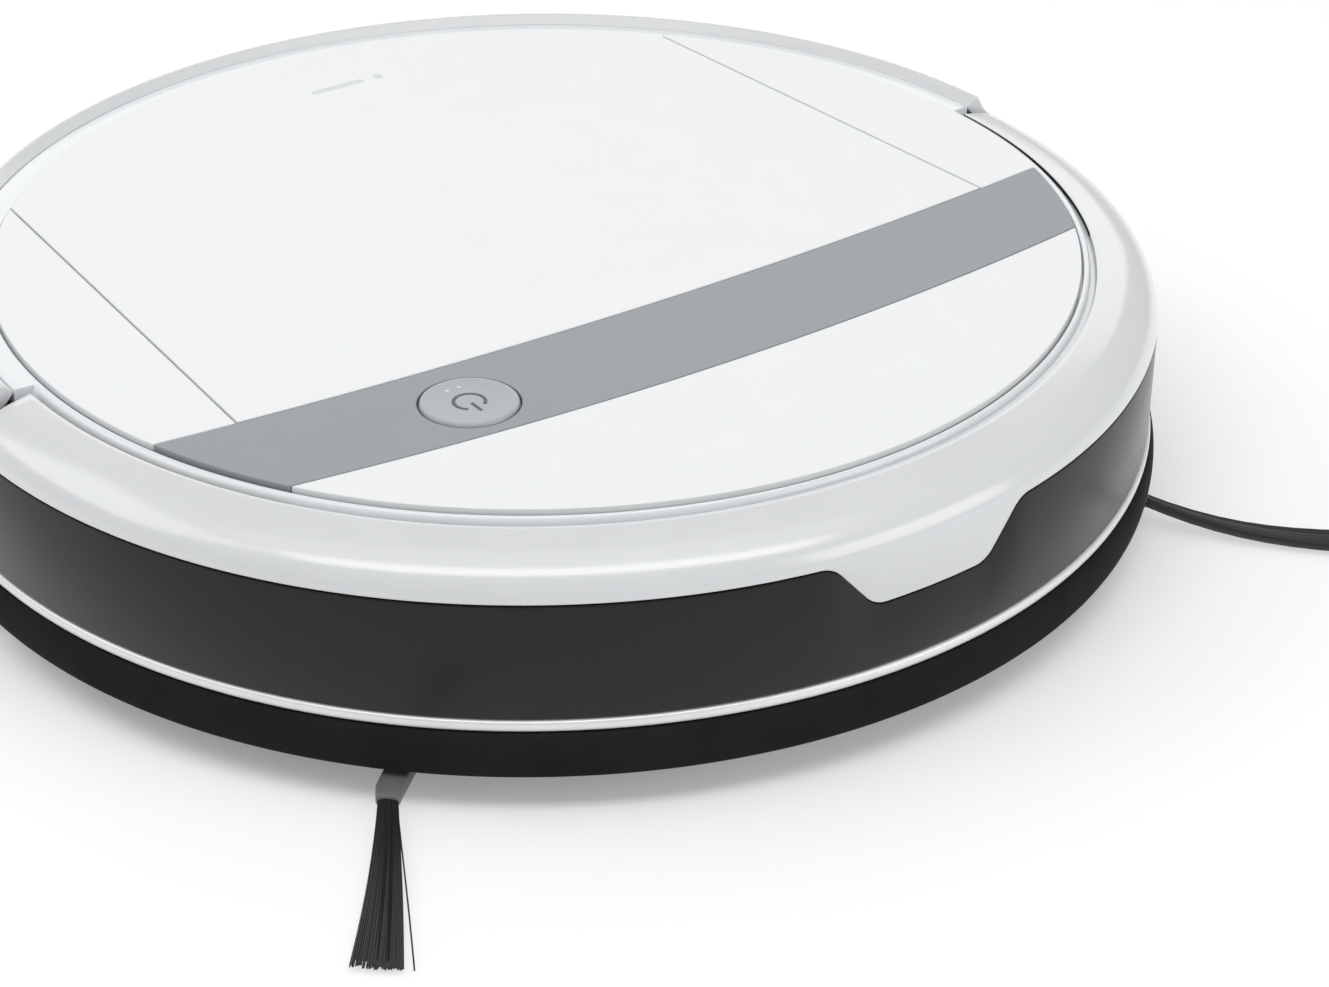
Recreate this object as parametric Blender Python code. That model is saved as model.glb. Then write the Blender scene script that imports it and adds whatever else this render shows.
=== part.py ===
"""Robot vacuum cleaner: a round self-driving sweeper, built as separate pieces.

Run with:  blender --background --python part.py

Lengths in this file are in millimetres and angles in degrees; add_mesh() scales them to metres.
The front of the robot faces -Y, +Z is up, and the origin is on the floor below its centre.
An azimuth is measured from the front (-Y) towards +X.
"""
import math

import bmesh
import bpy
from mathutils import Matrix, Vector

MM = 0.001

# ---- Overall size -----------------------------------------------------------------------
BODY_RADIUS = 170.0          # outside of the rubber skirt
SIDE_RADIUS = 168.0          # outside of the smoked band and the white shells
GROUND_CLEARANCE = 10.0      # floor to the underside of the tray
TOP_Z = 70.6                 # upper face of the lid and panels
DISC_RADIUS = 146.6          # edge of the lid and panels
PANEL_THICKNESS = 2.0
GAP = 0.3                    # standing gap between two fixed pieces
SEAM = 0.6                   # visible joint round the lid

# ---- Bands round the side ---------------------------------------------------------------
SKIRT_TOP = 22.5
TRIM_BOTTOM = 22.8
TRIM_TOP = 25.8
BAND_BOTTOM = 26.1
BAND_TOP = 57.1
SHELL_BOTTOM = 57.4
BACKING_OUTER = 165.4        # wall behind the band, on which the band, trim and skirt sit
BAND_INNER = 165.7

# ---- Bumper -----------------------------------------------------------------------------
BUMPER_TRAVEL = 1.8
BUMPER_END = 89.9            # azimuth of the bumper's ends
REAR_START = 90.9            # azimuth where the fixed rear begins
BUMPER_EDGE = 150.8          # inner edge of the bumper's top
NOTCH_LOW_HALF = 5.5         # half-angle of the white notch at its lower edge
NOTCH_HIGH_HALF = 11.0       # half-angle where the notch meets the top of the band
NOTCH_BOTTOM = 42.3

# ---- Ledge round the disc ----------------------------------------------------------------
LEDGE_TOP = 69.3
SIDE_LEDGE_OUTER = 149.8     # ledge's edge at the robot's sides

# ---- Rear rim ---------------------------------------------------------------------------
REAR_LEDGE_OUTER = 154.3     # flat ledge behind the disc
REAR_LIP_INNER = 154.6       # foot of the lip's sloping inner face
REAR_LIP_RADIUS = 157.6      # crest of the lip
REAR_LIP_Z = 71.4

# ---- Chassis ----------------------------------------------------------------------------
CHASSIS_RADIUS = 161.0
CHASSIS_WALL = 2.0
FLOOR_TOP = 12.4
WALL_SPLIT = 40.0            # height where the tray's wall meets the top frame's
DECK_BOTTOM = 66.2
DECK_TOP = 68.2

# ---- Top face: strip, lid and panels ----------------------------------------------------
STRIP_REAR_Y = -51.7         # strip's rear edge at the middle
STRIP_REAR_CURVE = 1268.0    # radius of that edge, which bows to the front
STRIP_FRONT_Y = -88.6
STRIP_FRONT_CURVE = 860.0
LID_HALF_WIDTH = 118.2       # at LID_WIDTH_Y
LID_WIDTH_Y = -45.0
LID_TAPER = 0.058            # half-width lost per millimetre to the rear
BUTTON_X, BUTTON_Y = -66.5, -69.5
BUTTON_RADIUS = 12.5
BUTTON_TOP = 71.0
BUTTON_TRAVEL = 0.8

# ---- Lid hinge --------------------------------------------------------------------------
HINGE_Y, HINGE_Z = -36.0, 67.0
HINGE_PIN_RADIUS = 0.8
KNUCKLE_RADIUS = 1.5

# ---- Drive wheels -----------------------------------------------------------------------
WHEEL_X, WHEEL_Y = 122.0, 8.0
WHEEL_RADIUS = 31.0
TYRE_WIDTH = 18.0
HUB_RADIUS = 26.0
AXLE_RADIUS = 4.0
PIVOT_Y, PIVOT_Z = 52.0, 36.0
PIVOT_PIN_RADIUS = 3.0
ARM_INNER_X, ARM_OUTER_X = 93.0, 109.0
WELL_INNER_X, WELL_OUTER_X = 91.5, 135.0
SPRING_Y = 28.0

# ---- Caster -----------------------------------------------------------------------------
CASTER_Y = -122.0
CASTER_RADIUS = 18.0
CASTER_TRAIL = 6.0
CASTER_WHEEL_RADIUS = 11.0
CASTER_WELL_RADIUS = 19.5
CASTER_TOP = 29.5

# ---- Side brushes -----------------------------------------------------------------------
SIDE_BRUSH_X, SIDE_BRUSH_Y = 104.0, -104.0
SIDE_BRUSH_ANGLE = 40.0      # azimuth of the arm that points forwards and outwards
SIDE_BRUSH_REACH = 80.0
SIDE_BRUSH_ARMS = 3

# ---- Main brush -------------------------------------------------------------------------
BRUSH_Y, BRUSH_Z = -40.0, 20.5
BRUSH_RADIUS = 17.0
BRUSH_CORE = 9.0
BRUSH_HALF_LENGTH = 76.0
BRUSH_ROWS = 6
BRUSH_TWIST = 60.0
BRUSH_SHAFT_RADIUS = 3.0
CHAMBER_RADIUS = 19.5
HOUSING_HALF_LENGTH = 84.0
MOTOR_Y, MOTOR_Z = -75.0, 31.0
BRUSH_PULLEY_RADIUS = 5.5
MOTOR_PULLEY_RADIUS = 3.5
MOTOR_SHAFT_RADIUS = 1.5
BELT_THICKNESS = 1.2
PULLEY_X0, PULLEY_X1 = 86.0, 91.0

# ---- Dust bin and fan -------------------------------------------------------------------
BIN_HALF_WIDTH = 75.0
BIN_FRONT, BIN_REAR = -2.0, 88.0
BIN_BOTTOM, BIN_TOP = 12.8, 60.0
BIN_WALL = 2.0
MOUTH_HALF_WIDTH = 50.0
MOUTH_LOW, MOUTH_HIGH = 23.0, 38.0
HANDLE_Y, HANDLE_Z = 42.0, 64.4
HANDLE_HALF_THICKNESS = 1.6
HANDLE_HALF_WIDTH = 36.0
HANDLE_LENGTH = 32.0
BAY_HALF_WIDTH = 80.0
BAY_REAR = 92.0
FAN_Y = 116.0
FAN_RADIUS = 23.0

# ---- Battery, board and switches --------------------------------------------------------
BATTERY_HALF_WIDTH = 50.0
BATTERY_FRONT, BATTERY_REAR = -95.0, -68.0
BOARD_Z = 47.0
SOCKET_Z = 33.0
SWITCH_X, SWITCH_Y, SWITCH_Z = -58.0, 122.0, 14.5
TRUNNION_RADIUS = 1.0
BUMPER_SWITCH_AZIMUTH = 38.0

RIM_STEPS = 28               # facets of each half of the rim
CHASSIS_STEPS = 48
MERGE = 0.01                 # points closer than this are one point
SIDES = {"left": -1.0, "right": 1.0}


# ---- Mesh tools -------------------------------------------------------------------------
def clear_scene():
    for item in list(bpy.data.objects):
        bpy.data.objects.remove(item, do_unlink=True)


def material(name, color, roughness, metallic=0.0, alpha=1.0):
    """A Principled material of one colour."""
    mat = bpy.data.materials.new(name)
    mat.use_nodes = True
    shader = mat.node_tree.nodes["Principled BSDF"]
    shader.inputs["Base Color"].default_value = (*color, 1.0)
    shader.inputs["Roughness"].default_value = roughness
    shader.inputs["Metallic"].default_value = metallic
    shader.inputs["Alpha"].default_value = alpha
    mat.diffuse_color = (*color, alpha)
    return mat


def add_mesh(name, bm, mat=None, origin=(0.0, 0.0, 0.0)):
    """Turn a bmesh in millimetres into an object in metres whose origin is the given point."""
    bmesh.ops.remove_doubles(bm, verts=bm.verts, dist=MERGE)
    bmesh.ops.translate(bm, verts=bm.verts, vec=-Vector(origin))
    bmesh.ops.scale(bm, verts=bm.verts, vec=(MM, MM, MM))
    bmesh.ops.recalc_face_normals(bm, faces=bm.faces)
    mesh = bpy.data.meshes.new(name)
    bm.to_mesh(mesh)
    bm.free()
    mesh.shade_smooth()
    mesh.set_sharp_from_angle(angle=math.radians(35))
    obj = bpy.data.objects.new(name, mesh)
    obj.location = Vector(origin) * MM
    bpy.context.scene.collection.objects.link(obj)
    if mat is not None:
        mesh.materials.append(mat)
    return obj


def boolean(target, tool, operation):
    """Apply a shape to the target through a Boolean; the shape itself is not a piece."""
    tool.hide_render = True
    tool.display_type = "WIRE"
    modifier = target.modifiers.new(tool.name, "BOOLEAN")
    modifier.operation = operation
    modifier.solver = "EXACT"
    modifier.object = tool


def cut(target, *tools):
    for tool in tools:
        boolean(target, tool, "DIFFERENCE")


def join(target, *tools):
    for tool in tools:
        boolean(target, tool, "UNION")


def loft(bm, loops, closed):
    """Skin a row of loops that all have the same number of points."""
    rows = [[bm.verts.new(point) for point in loop] for loop in loops]
    pairs = list(zip(rows, rows[1:] + rows[:1])) if closed else list(zip(rows, rows[1:]))
    for row, following in pairs:
        count = len(row)
        for i in range(count):
            j = (i + 1) % count
            bm.faces.new((row[i], row[j], following[j], following[i]))
    if not closed:
        bm.faces.new(rows[0])
        bm.faces.new(rows[-1])


def polar(radius, azimuth, z=0.0):
    angle = math.radians(azimuth)
    return Vector((radius * math.sin(angle), -radius * math.cos(angle), z))


def spread(start, end, steps):
    return [start + (end - start) * i / steps for i in range(steps + 1)]


def rim(name, profile_at, azimuths, mat=None, closed=False):
    """Sweep a profile of (radius, height) points about Z; it may change with the azimuth."""
    bm = bmesh.new()
    loops = [[polar(r, azimuth, z) for r, z in profile_at(azimuth)] for azimuth in azimuths]
    loft(bm, loops, closed)
    return add_mesh(name, bm, mat)


def turned(name, profile, mat=None, centre=(0.0, 0.0, 0.0), axis="Z", steps=24, origin=None):
    """Spin a profile of (radius, height) points, whose ends lie on the axis or meet."""
    bm = bmesh.new()
    verts = [bm.verts.new((r, 0.0, z)) for r, z in profile]
    edges = [bm.edges.new(pair) for pair in zip(verts, verts[1:])]
    if profile[0][0] > 0.0:
        edges.append(bm.edges.new((verts[-1], verts[0])))
    bmesh.ops.spin(bm, geom=verts + edges, axis=(0.0, 0.0, 1.0), cent=(0.0, 0.0, 0.0),
                   angle=math.tau, steps=steps, use_duplicate=False)
    bmesh.ops.remove_doubles(bm, verts=bm.verts, dist=MERGE)
    turn = {"Z": Matrix.Identity(4),
            "X": Matrix.Rotation(math.radians(90), 4, "Y"),
            "Y": Matrix.Rotation(math.radians(-90), 4, "X")}[axis]
    bmesh.ops.transform(bm, matrix=Matrix.Translation(centre) @ turn, verts=bm.verts)
    return add_mesh(name, bm, mat, centre if origin is None else origin)


def rod(name, start, end, radius, mat=None, sides=16, origin=(0.0, 0.0, 0.0)):
    """A round bar between two points."""
    bm = bmesh.new()
    start, end = Vector(start), Vector(end)
    along = end - start
    bmesh.ops.create_cone(bm, cap_ends=True, segments=sides, radius1=radius, radius2=radius,
                          depth=along.length)
    turn = along.to_track_quat("Z", "Y").to_matrix().to_4x4()
    bmesh.ops.transform(bm, matrix=Matrix.Translation((start + end) / 2) @ turn, verts=bm.verts)
    return add_mesh(name, bm, mat, origin)


def prism(name, outline, low, high, mat=None, axis="Z", origin=(0.0, 0.0, 0.0)):
    """Extrude an outline. Its points are (x, y) for axis Z and (y, z) for axis X."""
    bm = bmesh.new()
    order = {"Z": lambda u, v, w: (u, v, w), "X": lambda u, v, w: (w, u, v)}[axis]
    loft(bm, [[order(u, v, w) for u, v in outline] for w in (low, high)], closed=False)
    return add_mesh(name, bm, mat, origin)


def block(name, low, high, mat=None, bevel=0.0, origin=(0.0, 0.0, 0.0)):
    """A box between two corners, with its edges bevelled."""
    bm = bmesh.new()
    bmesh.ops.create_cube(bm, size=1.0)
    low, high = Vector(low), Vector(high)
    bmesh.ops.scale(bm, verts=bm.verts, vec=high - low)
    bmesh.ops.translate(bm, verts=bm.verts, vec=(high + low) / 2)
    if bevel:
        bmesh.ops.bevel(bm, geom=bm.edges, offset=bevel, segments=1, affect="EDGES")
    return add_mesh(name, bm, mat, origin)


def circle(x, y, radius, steps=24, start=0.0, end=360.0):
    """Points round a circle or along an arc, anticlockwise from +X."""
    full = abs(end - start) >= 360.0
    count = steps if full else steps + 1
    points = []
    for i in range(count):
        angle = math.radians(start + (end - start) * i / steps)
        points.append((x + radius * math.cos(angle), y + radius * math.sin(angle)))
    return points


def capsule(a, radius_a, b, radius_b, steps=8):
    """Outline round two circles of unlike size joined by their tangents."""
    (ax, ay), (bx, by) = a, b
    direction = math.degrees(math.atan2(by - ay, bx - ax))
    lean = math.degrees(math.acos((radius_a - radius_b) / math.hypot(bx - ax, by - ay)))
    far = circle(bx, by, radius_b, steps, direction - lean, direction + lean)
    near = circle(ax, ay, radius_a, steps, direction + lean, direction + 360.0 - lean)
    return far + near


# ---- Materials --------------------------------------------------------------------------
def white_gloss(name):
    return material(name, (0.84, 0.85, 0.86), 0.22)


def dark_plastic(name, shade=0.045, roughness=0.5):
    return material(name, (shade, shade, shade), roughness)


def grey_plastic(name, shade=0.36, roughness=0.4):
    return material(name, (shade, shade * 1.01, shade * 1.03), roughness)


def steel(name):
    return material(name, (0.62, 0.62, 0.63), 0.3, metallic=1.0)


# ---- Bumper and rear rim ----------------------------------------------------------------
def notch_height(azimuth, low, high):
    """Height of the edge between shell and band, which dips into a notch at the front."""
    share = (abs(azimuth) - NOTCH_LOW_HALF) / (NOTCH_HIGH_HALF - NOTCH_LOW_HALF)
    return low + (high - low) * min(max(share, 0.0), 1.0)


def bumper_azimuths():
    plain = spread(-BUMPER_END, BUMPER_END, RIM_STEPS)
    corners = [-NOTCH_HIGH_HALF, -NOTCH_LOW_HALF, NOTCH_LOW_HALF, NOTCH_HIGH_HALF]
    apart = [a for a in plain if min(abs(a - c) for c in corners) > 1.0]
    return sorted(apart + corners)


def rear_azimuths():
    return spread(REAR_START, 360.0 - REAR_START, RIM_STEPS)


def shoulder(edge_radius, edge_z):
    """Top face of the shells, from the inner edge to the rounded shoulder."""
    return [(edge_radius, edge_z), (158.6, edge_z - 1.5), (163.0, 65.0), (165.6, 62.9),
            (167.1, 60.4)]


def bumper_shell_profile(azimuth):
    low = notch_height(azimuth, NOTCH_BOTTOM, SHELL_BOTTOM)
    outer = shoulder(BUMPER_EDGE, 68.6)
    inner = [(BACKING_OUTER, low), (BACKING_OUTER, 13.0), (163.4, 13.0), (163.4, 58.5),
             (161.0, 62.6), (157.0, 65.2), (BUMPER_EDGE, 67.0)]
    return outer + [(SIDE_RADIUS, low)] + inner


def rear_shell_profile(_azimuth):
    lip = [(REAR_LIP_INNER, 68.2), (REAR_LIP_INNER, LEDGE_TOP)]
    outer = shoulder(REAR_LIP_RADIUS, REAR_LIP_Z)
    outer[1] = (160.2, 68.6)
    inner = [(BACKING_OUTER, SHELL_BOTTOM), (BACKING_OUTER, 13.0), (161.4, 13.0),
             (161.4, 57.6), (157.2, 65.4)]
    return lip + outer + [(SIDE_RADIUS, SHELL_BOTTOM)] + inner


def band_profile(azimuth):
    high = notch_height(azimuth, NOTCH_BOTTOM - GAP, BAND_TOP)
    return [(BAND_INNER, BAND_BOTTOM), (SIDE_RADIUS, BAND_BOTTOM), (SIDE_RADIUS, high),
            (BAND_INNER, high)]


def rear_band_profile(_azimuth):
    return [(BAND_INNER, BAND_BOTTOM), (SIDE_RADIUS, BAND_BOTTOM), (SIDE_RADIUS, BAND_TOP),
            (BAND_INNER, BAND_TOP)]


def trim_profile(_azimuth):
    return [(BAND_INNER, TRIM_BOTTOM), (168.3, TRIM_BOTTOM), (168.6, 24.3), (168.3, TRIM_TOP),
            (BAND_INNER, TRIM_TOP)]


def skirt_profile(_azimuth):
    return [(BAND_INNER, GROUND_CLEARANCE), (168.4, GROUND_CLEARANCE), (169.6, 12.2),
            (BODY_RADIUS, 16.0), (169.6, 20.6), (168.4, SKIRT_TOP), (BAND_INNER, SKIRT_TOP)]


def make_bumper():
    azimuths = bumper_azimuths()
    rim("bumper_shell", bumper_shell_profile, azimuths, white_gloss("bumper_shell"))
    rim("bumper_window", band_profile, azimuths, dark_plastic("bumper_window", 0.02, 0.12))
    rim("bumper_trim", trim_profile, azimuths, steel("bumper_trim"))
    rim("bumper_skirt", skirt_profile, azimuths, dark_plastic("bumper_skirt", 0.02, 0.6))


def vent_slots():
    """Tools for the exhaust slots, in two groups either side of the charging socket."""
    slots = []
    for side in SIDES.values():
        for i in range(7):
            azimuth = 180.0 + side * (8.0 + 2.2 * i)
            bm = bmesh.new()
            bmesh.ops.create_cube(bm, size=1.0)
            bmesh.ops.scale(bm, verts=bm.verts, vec=(2.8, 12.0, 17.0))
            turn = Matrix.Rotation(math.radians(azimuth), 4, "Z")
            place = Matrix.Translation(polar(SIDE_RADIUS, azimuth, 42.0))
            bmesh.ops.transform(bm, matrix=place @ turn, verts=bm.verts)
            slots.append(add_mesh(f"vent_slot_tool_{len(slots)}", bm))
    return slots


def socket_hole(index):
    return rod(f"socket_hole_tool_{index}", (0.0, 150.0, SOCKET_Z), (0.0, 175.0, SOCKET_Z), 6.2)


def exhaust_windows(index):
    """Tools that open the walls behind the exhaust slots."""
    return [block(f"exhaust_tool_{name}_{index}", (side * 44.0 - 24.0, 130.0, 34.0),
                  (side * 44.0 + 24.0, BACKING_OUTER + 0.1, 50.0))
            for name, side in SIDES.items()]


def make_rear():
    azimuths = rear_azimuths()
    shell = rim("rear_shell", rear_shell_profile, azimuths, white_gloss("rear_shell"))
    cut(shell, socket_hole(0), *exhaust_windows(0))
    band = rim("rear_band", rear_band_profile, azimuths, dark_plastic("rear_band", 0.03, 0.3))
    cut(band, socket_hole(1), *vent_slots())
    rim("rear_trim", trim_profile, azimuths, steel("rear_trim"))
    rim("rear_skirt", skirt_profile, azimuths, dark_plastic("rear_skirt", 0.02, 0.6))
    jack = [(5.9, 0.0), (5.9, 14.0), (3.6, 14.0), (3.6, 4.0), (2.0, 3.0), (0.0, 3.0)]
    turned("charging_socket", [(0.0, 0.0)] + jack, dark_plastic("charging_socket", 0.06),
           (0.0, 153.5, SOCKET_Z), axis="Y", steps=20, origin=(0.0, 0.0, 0.0))


# ---- Tray and top frame -----------------------------------------------------------------
def wheel_well(index, side):
    """Tool for the floor opening below a drive wheel and its arm."""
    xs = (WELL_INNER_X, WELL_OUTER_X, WELL_OUTER_X, 110.6, 110.6, WELL_INNER_X)
    ys = (-27.0, -27.0, 44.8, 44.8, 63.0, 63.0)
    outline = [(side * x, y) for x, y in zip(xs, ys)]
    return prism(f"wheel_well_tool_{index}", outline, 5.0, 20.0)


def floor_tools():
    """Tools for every opening in the tray's floor."""
    tools = [block("brush_mouth_tool", (-84.5, -61.5, 5.0), (84.5, -18.5, 20.0)),
             block("battery_door_tool", (-56.0, -97.5, 5.0), (56.0, -65.5, 20.0)),
             block("power_switch_tool", (SWITCH_X - 8.0, SWITCH_Y - 5.5, 5.0),
                   (SWITCH_X + 8.0, SWITCH_Y + 5.5, 20.0))]
    for name, side in SIDES.items():
        tools.append(wheel_well(name, side))
        tools.append(rod(f"side_shaft_tool_{name}", (side * SIDE_BRUSH_X, SIDE_BRUSH_Y, 5.0),
                         (side * SIDE_BRUSH_X, SIDE_BRUSH_Y, 20.0), 4.4))
        tools.append(block(f"contact_tool_{name}", (side * 38.0 - 6.3, -143.3, 5.0),
                           (side * 38.0 + 6.3, -122.7, 20.0)))
    for name, (x, y) in cliff_places().items():
        tools.append(block(f"cliff_tool_{name}", (x - 7.3, y - 3.3, 5.0), (x + 7.3, y + 3.3, 20.0)))
    return tools


def pivot_ears(side, name):
    """Two upright ears that hold a suspension pin."""
    ears = []
    for number, x in enumerate((88.0, 113.6)):
        low, high = sorted((side * (x - 2.5), side * (x + 2.5)))
        ears.append(block(f"pivot_ear_tool_{name}_{number}", (low, PIVOT_Y - 6.0, 11.0),
                          (high, PIVOT_Y + 6.0, PIVOT_Z + 6.0)))
    return ears


def switch_ears():
    """Two ears on the floor that carry the power switch's trunnions."""
    return [block(f"switch_ear_tool_{name}",
                  (SWITCH_X - 3.0, SWITCH_Y + side * 7.0 - 1.2, 11.0),
                  (SWITCH_X + 3.0, SWITCH_Y + side * 7.0 + 1.2, SWITCH_Z + 3.0))
            for name, side in SIDES.items()]


def make_tray():
    inner = CHASSIS_RADIUS - CHASSIS_WALL
    profile = [(0.0, GROUND_CLEARANCE), (157.5, GROUND_CLEARANCE), (CHASSIS_RADIUS, 13.0),
               (CHASSIS_RADIUS, WALL_SPLIT), (inner, WALL_SPLIT), (inner, FLOOR_TOP),
               (0.0, FLOOR_TOP)]
    tray = turned("base_tray", profile, dark_plastic("base_tray", 0.035, 0.5), steps=CHASSIS_STEPS)
    outer = CASTER_WELL_RADIUS + 2.0
    cup = [(0.0, 11.0), (outer, 11.0), (outer, CASTER_TOP + 2.5), (0.0, CASTER_TOP + 2.5)]
    join(tray, turned("caster_cup_tool", cup, centre=(0.0, CASTER_Y, 0.0)))
    for name, side in SIDES.items():
        join(tray, *pivot_ears(side, name))
    join(tray, *switch_ears())
    cut(tray, rod("switch_bore_tool", (SWITCH_X, SWITCH_Y - 9.0, SWITCH_Z),
                  (SWITCH_X, SWITCH_Y + 9.0, SWITCH_Z), TRUNNION_RADIUS + 0.2, sides=12))
    well = [(0.0, 5.0), (CASTER_WELL_RADIUS, 5.0), (CASTER_WELL_RADIUS, CASTER_TOP + 0.5),
            (0.0, CASTER_TOP + 0.5)]
    cut(tray, turned("caster_well_tool", well, centre=(0.0, CASTER_Y, 0.0)))
    cut(tray, rod("caster_stem_tool", (0.0, CASTER_Y, 20.0), (0.0, CASTER_Y, 40.0), 4.4, sides=14))
    for name, side in SIDES.items():
        cut(tray, rod(f"pivot_hole_tool_{name}", (side * 84.0, PIVOT_Y, PIVOT_Z),
                      (side * 118.0, PIVOT_Y, PIVOT_Z), PIVOT_PIN_RADIUS + 0.2))
    cut(tray, *floor_tools(), socket_hole(2), *exhaust_windows(1))


def top_frame_profile(azimuth):
    """Deck, ledge round the disc and outer wall.

    The ledge is wide round the rear. At the front it leaves the bumper room to travel back.
    """
    rear = 90.85 < azimuth < 269.15
    clearance = SIDE_LEDGE_OUTER - (BUMPER_EDGE - BUMPER_TRAVEL - GAP)
    front_outer = SIDE_LEDGE_OUTER - clearance * math.cos(math.radians(azimuth))
    ledge_outer = REAR_LEDGE_OUTER if rear else front_outer
    step_z = 64.6 if rear else 66.2
    inner = CHASSIS_RADIUS - CHASSIS_WALL
    return [(20.0, DECK_TOP), (147.3, DECK_TOP), (147.3, LEDGE_TOP), (ledge_outer, LEDGE_TOP),
            (ledge_outer, step_z), (156.0, 63.8), (160.6, 56.5), (CHASSIS_RADIUS, WALL_SPLIT + GAP),
            (inner, WALL_SPLIT + GAP), (158.4, 56.0), (147.0, DECK_BOTTOM - 2.6),
            (141.0, DECK_BOTTOM), (20.0, DECK_BOTTOM)]


def top_frame_azimuths():
    plain = spread(0.0, 360.0, CHASSIS_STEPS)[:-1]
    steps = [90.8, 90.9, 269.1, 269.2]
    apart = [a for a in plain if min(abs(a - s) for s in steps) > 1.5]
    return sorted(apart + steps)


def bay_outline():
    """Opening over the dust bin, wider at the front, where the lid's edge swings down."""
    front, wide = STRIP_REAR_Y - 3.5, 118.4
    return [(-wide, front), (wide, front), (wide, -33.0), (BAY_HALF_WIDTH, -33.0),
            (BAY_HALF_WIDTH, BAY_REAR), (-BAY_HALF_WIDTH, BAY_REAR), (-BAY_HALF_WIDTH, -33.0),
            (-wide, -33.0)]


def make_top_frame():
    frame = rim("top_frame", top_frame_profile, top_frame_azimuths(), white_gloss("top_frame"),
                closed=True)
    for name, side in SIDES.items():
        low, high = sorted((side * 118.6, side * 121.6))
        join(frame, block(f"hinge_ear_tool_{name}", (low, HINGE_Y - 3.0, 64.6),
                          (high, HINGE_Y + 3.0, DECK_TOP - 0.1)))
    cut(frame, prism("bay_tool", bay_outline(), 55.0, 75.0))
    cut(frame, rod("button_stem_tool", (BUTTON_X, BUTTON_Y, 60.0), (BUTTON_X, BUTTON_Y, 75.0), 5.0))
    for name, side in SIDES.items():
        cut(frame, rod(f"hinge_hole_tool_{name}", (side * 116.0, HINGE_Y, HINGE_Z),
                       (side * 122.0, HINGE_Y, HINGE_Z), HINGE_PIN_RADIUS + 0.12, sides=12))
        cut(frame, switch_block(f"switch_window_tool_{name}", side, 148.0, 165.0, GAP))
    cut(frame, *exhaust_windows(2))


# ---- Top face ---------------------------------------------------------------------------
def strip_rear(x):
    return STRIP_REAR_Y + x * x / (2.0 * STRIP_REAR_CURVE)


def strip_front(x):
    return STRIP_FRONT_Y + x * x / (2.0 * STRIP_FRONT_CURVE)


def lid_side(y):
    return LID_HALF_WIDTH - LID_TAPER * (y - LID_WIDTH_Y)


def crossing(edge, radius):
    """The x where a curved edge reaches the rim of a disc of the given radius."""
    x = radius
    for _ in range(40):
        x = math.sqrt(radius * radius - edge(x) ** 2)
    return x


def edge_points(edge, start, end, steps, offset=0.0):
    return [(x, edge(x) + offset) for x in spread(start, end, steps)]


def arc_between(start, end, radius, steps):
    """Points of a circle about the origin strictly between two points, the short way round."""
    a = math.atan2(start[1], start[0])
    b = math.atan2(end[1], end[0])
    if b - a > math.pi:
        b -= math.tau
    if a - b > math.pi:
        b += math.tau
    angles = [a + (b - a) * i / steps for i in range(1, steps)]
    return [(radius * math.cos(t), radius * math.sin(t)) for t in angles]


def panel(name, outline, mat):
    return prism(name, outline, TOP_Z - PANEL_THICKNESS, TOP_Z, mat)


def make_front_panel():
    half = crossing(lambda x: strip_front(x) - GAP, DISC_RADIUS)
    edge = edge_points(strip_front, half, -half, 16, -GAP)
    arc = arc_between(edge[-1], edge[0], DISC_RADIUS, 24)
    panel("front_panel", edge + arc, white_gloss("front_panel"))


def make_control_strip():
    front = crossing(strip_front, DISC_RADIUS)
    rear = crossing(strip_rear, DISC_RADIUS)
    front_edge = edge_points(strip_front, -front, front, 16)
    rear_edge = edge_points(strip_rear, rear, -rear, 16)
    right = arc_between(front_edge[-1], rear_edge[0], DISC_RADIUS, 5)
    left = arc_between(rear_edge[-1], front_edge[0], DISC_RADIUS, 5)
    strip = panel("control_strip", front_edge + right + rear_edge + left,
                  grey_plastic("control_strip"))
    cut(strip, rod("button_hole_tool", (BUTTON_X, BUTTON_Y, 60.0), (BUTTON_X, BUTTON_Y, 80.0),
                   BUTTON_RADIUS + 0.5, sides=24))


def side_seam(offset, radius):
    """Ends of the seam between the lid and a side panel: at the strip and at the rim."""
    x = LID_HALF_WIDTH
    for _ in range(20):
        x = lid_side(strip_rear(x)) + offset
    y = 90.0
    for _ in range(40):
        y = math.sqrt(radius * radius - (lid_side(y) + offset) ** 2)
    return x, (lid_side(y) + offset, y)


def make_side_panels():
    seam_x, rear_corner = side_seam(SEAM / 2, DISC_RADIUS)
    reach = crossing(lambda x: strip_rear(x) + GAP, DISC_RADIUS)
    edge = edge_points(strip_rear, seam_x, reach, 3, GAP)
    arc = arc_between(edge[-1], rear_corner, DISC_RADIUS, 16)
    for name, side in SIDES.items():
        outline = [(side * x, y) for x, y in edge + arc + [rear_corner]]
        panel(f"side_panel_{name}", outline, white_gloss(f"side_panel_{name}"))


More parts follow.
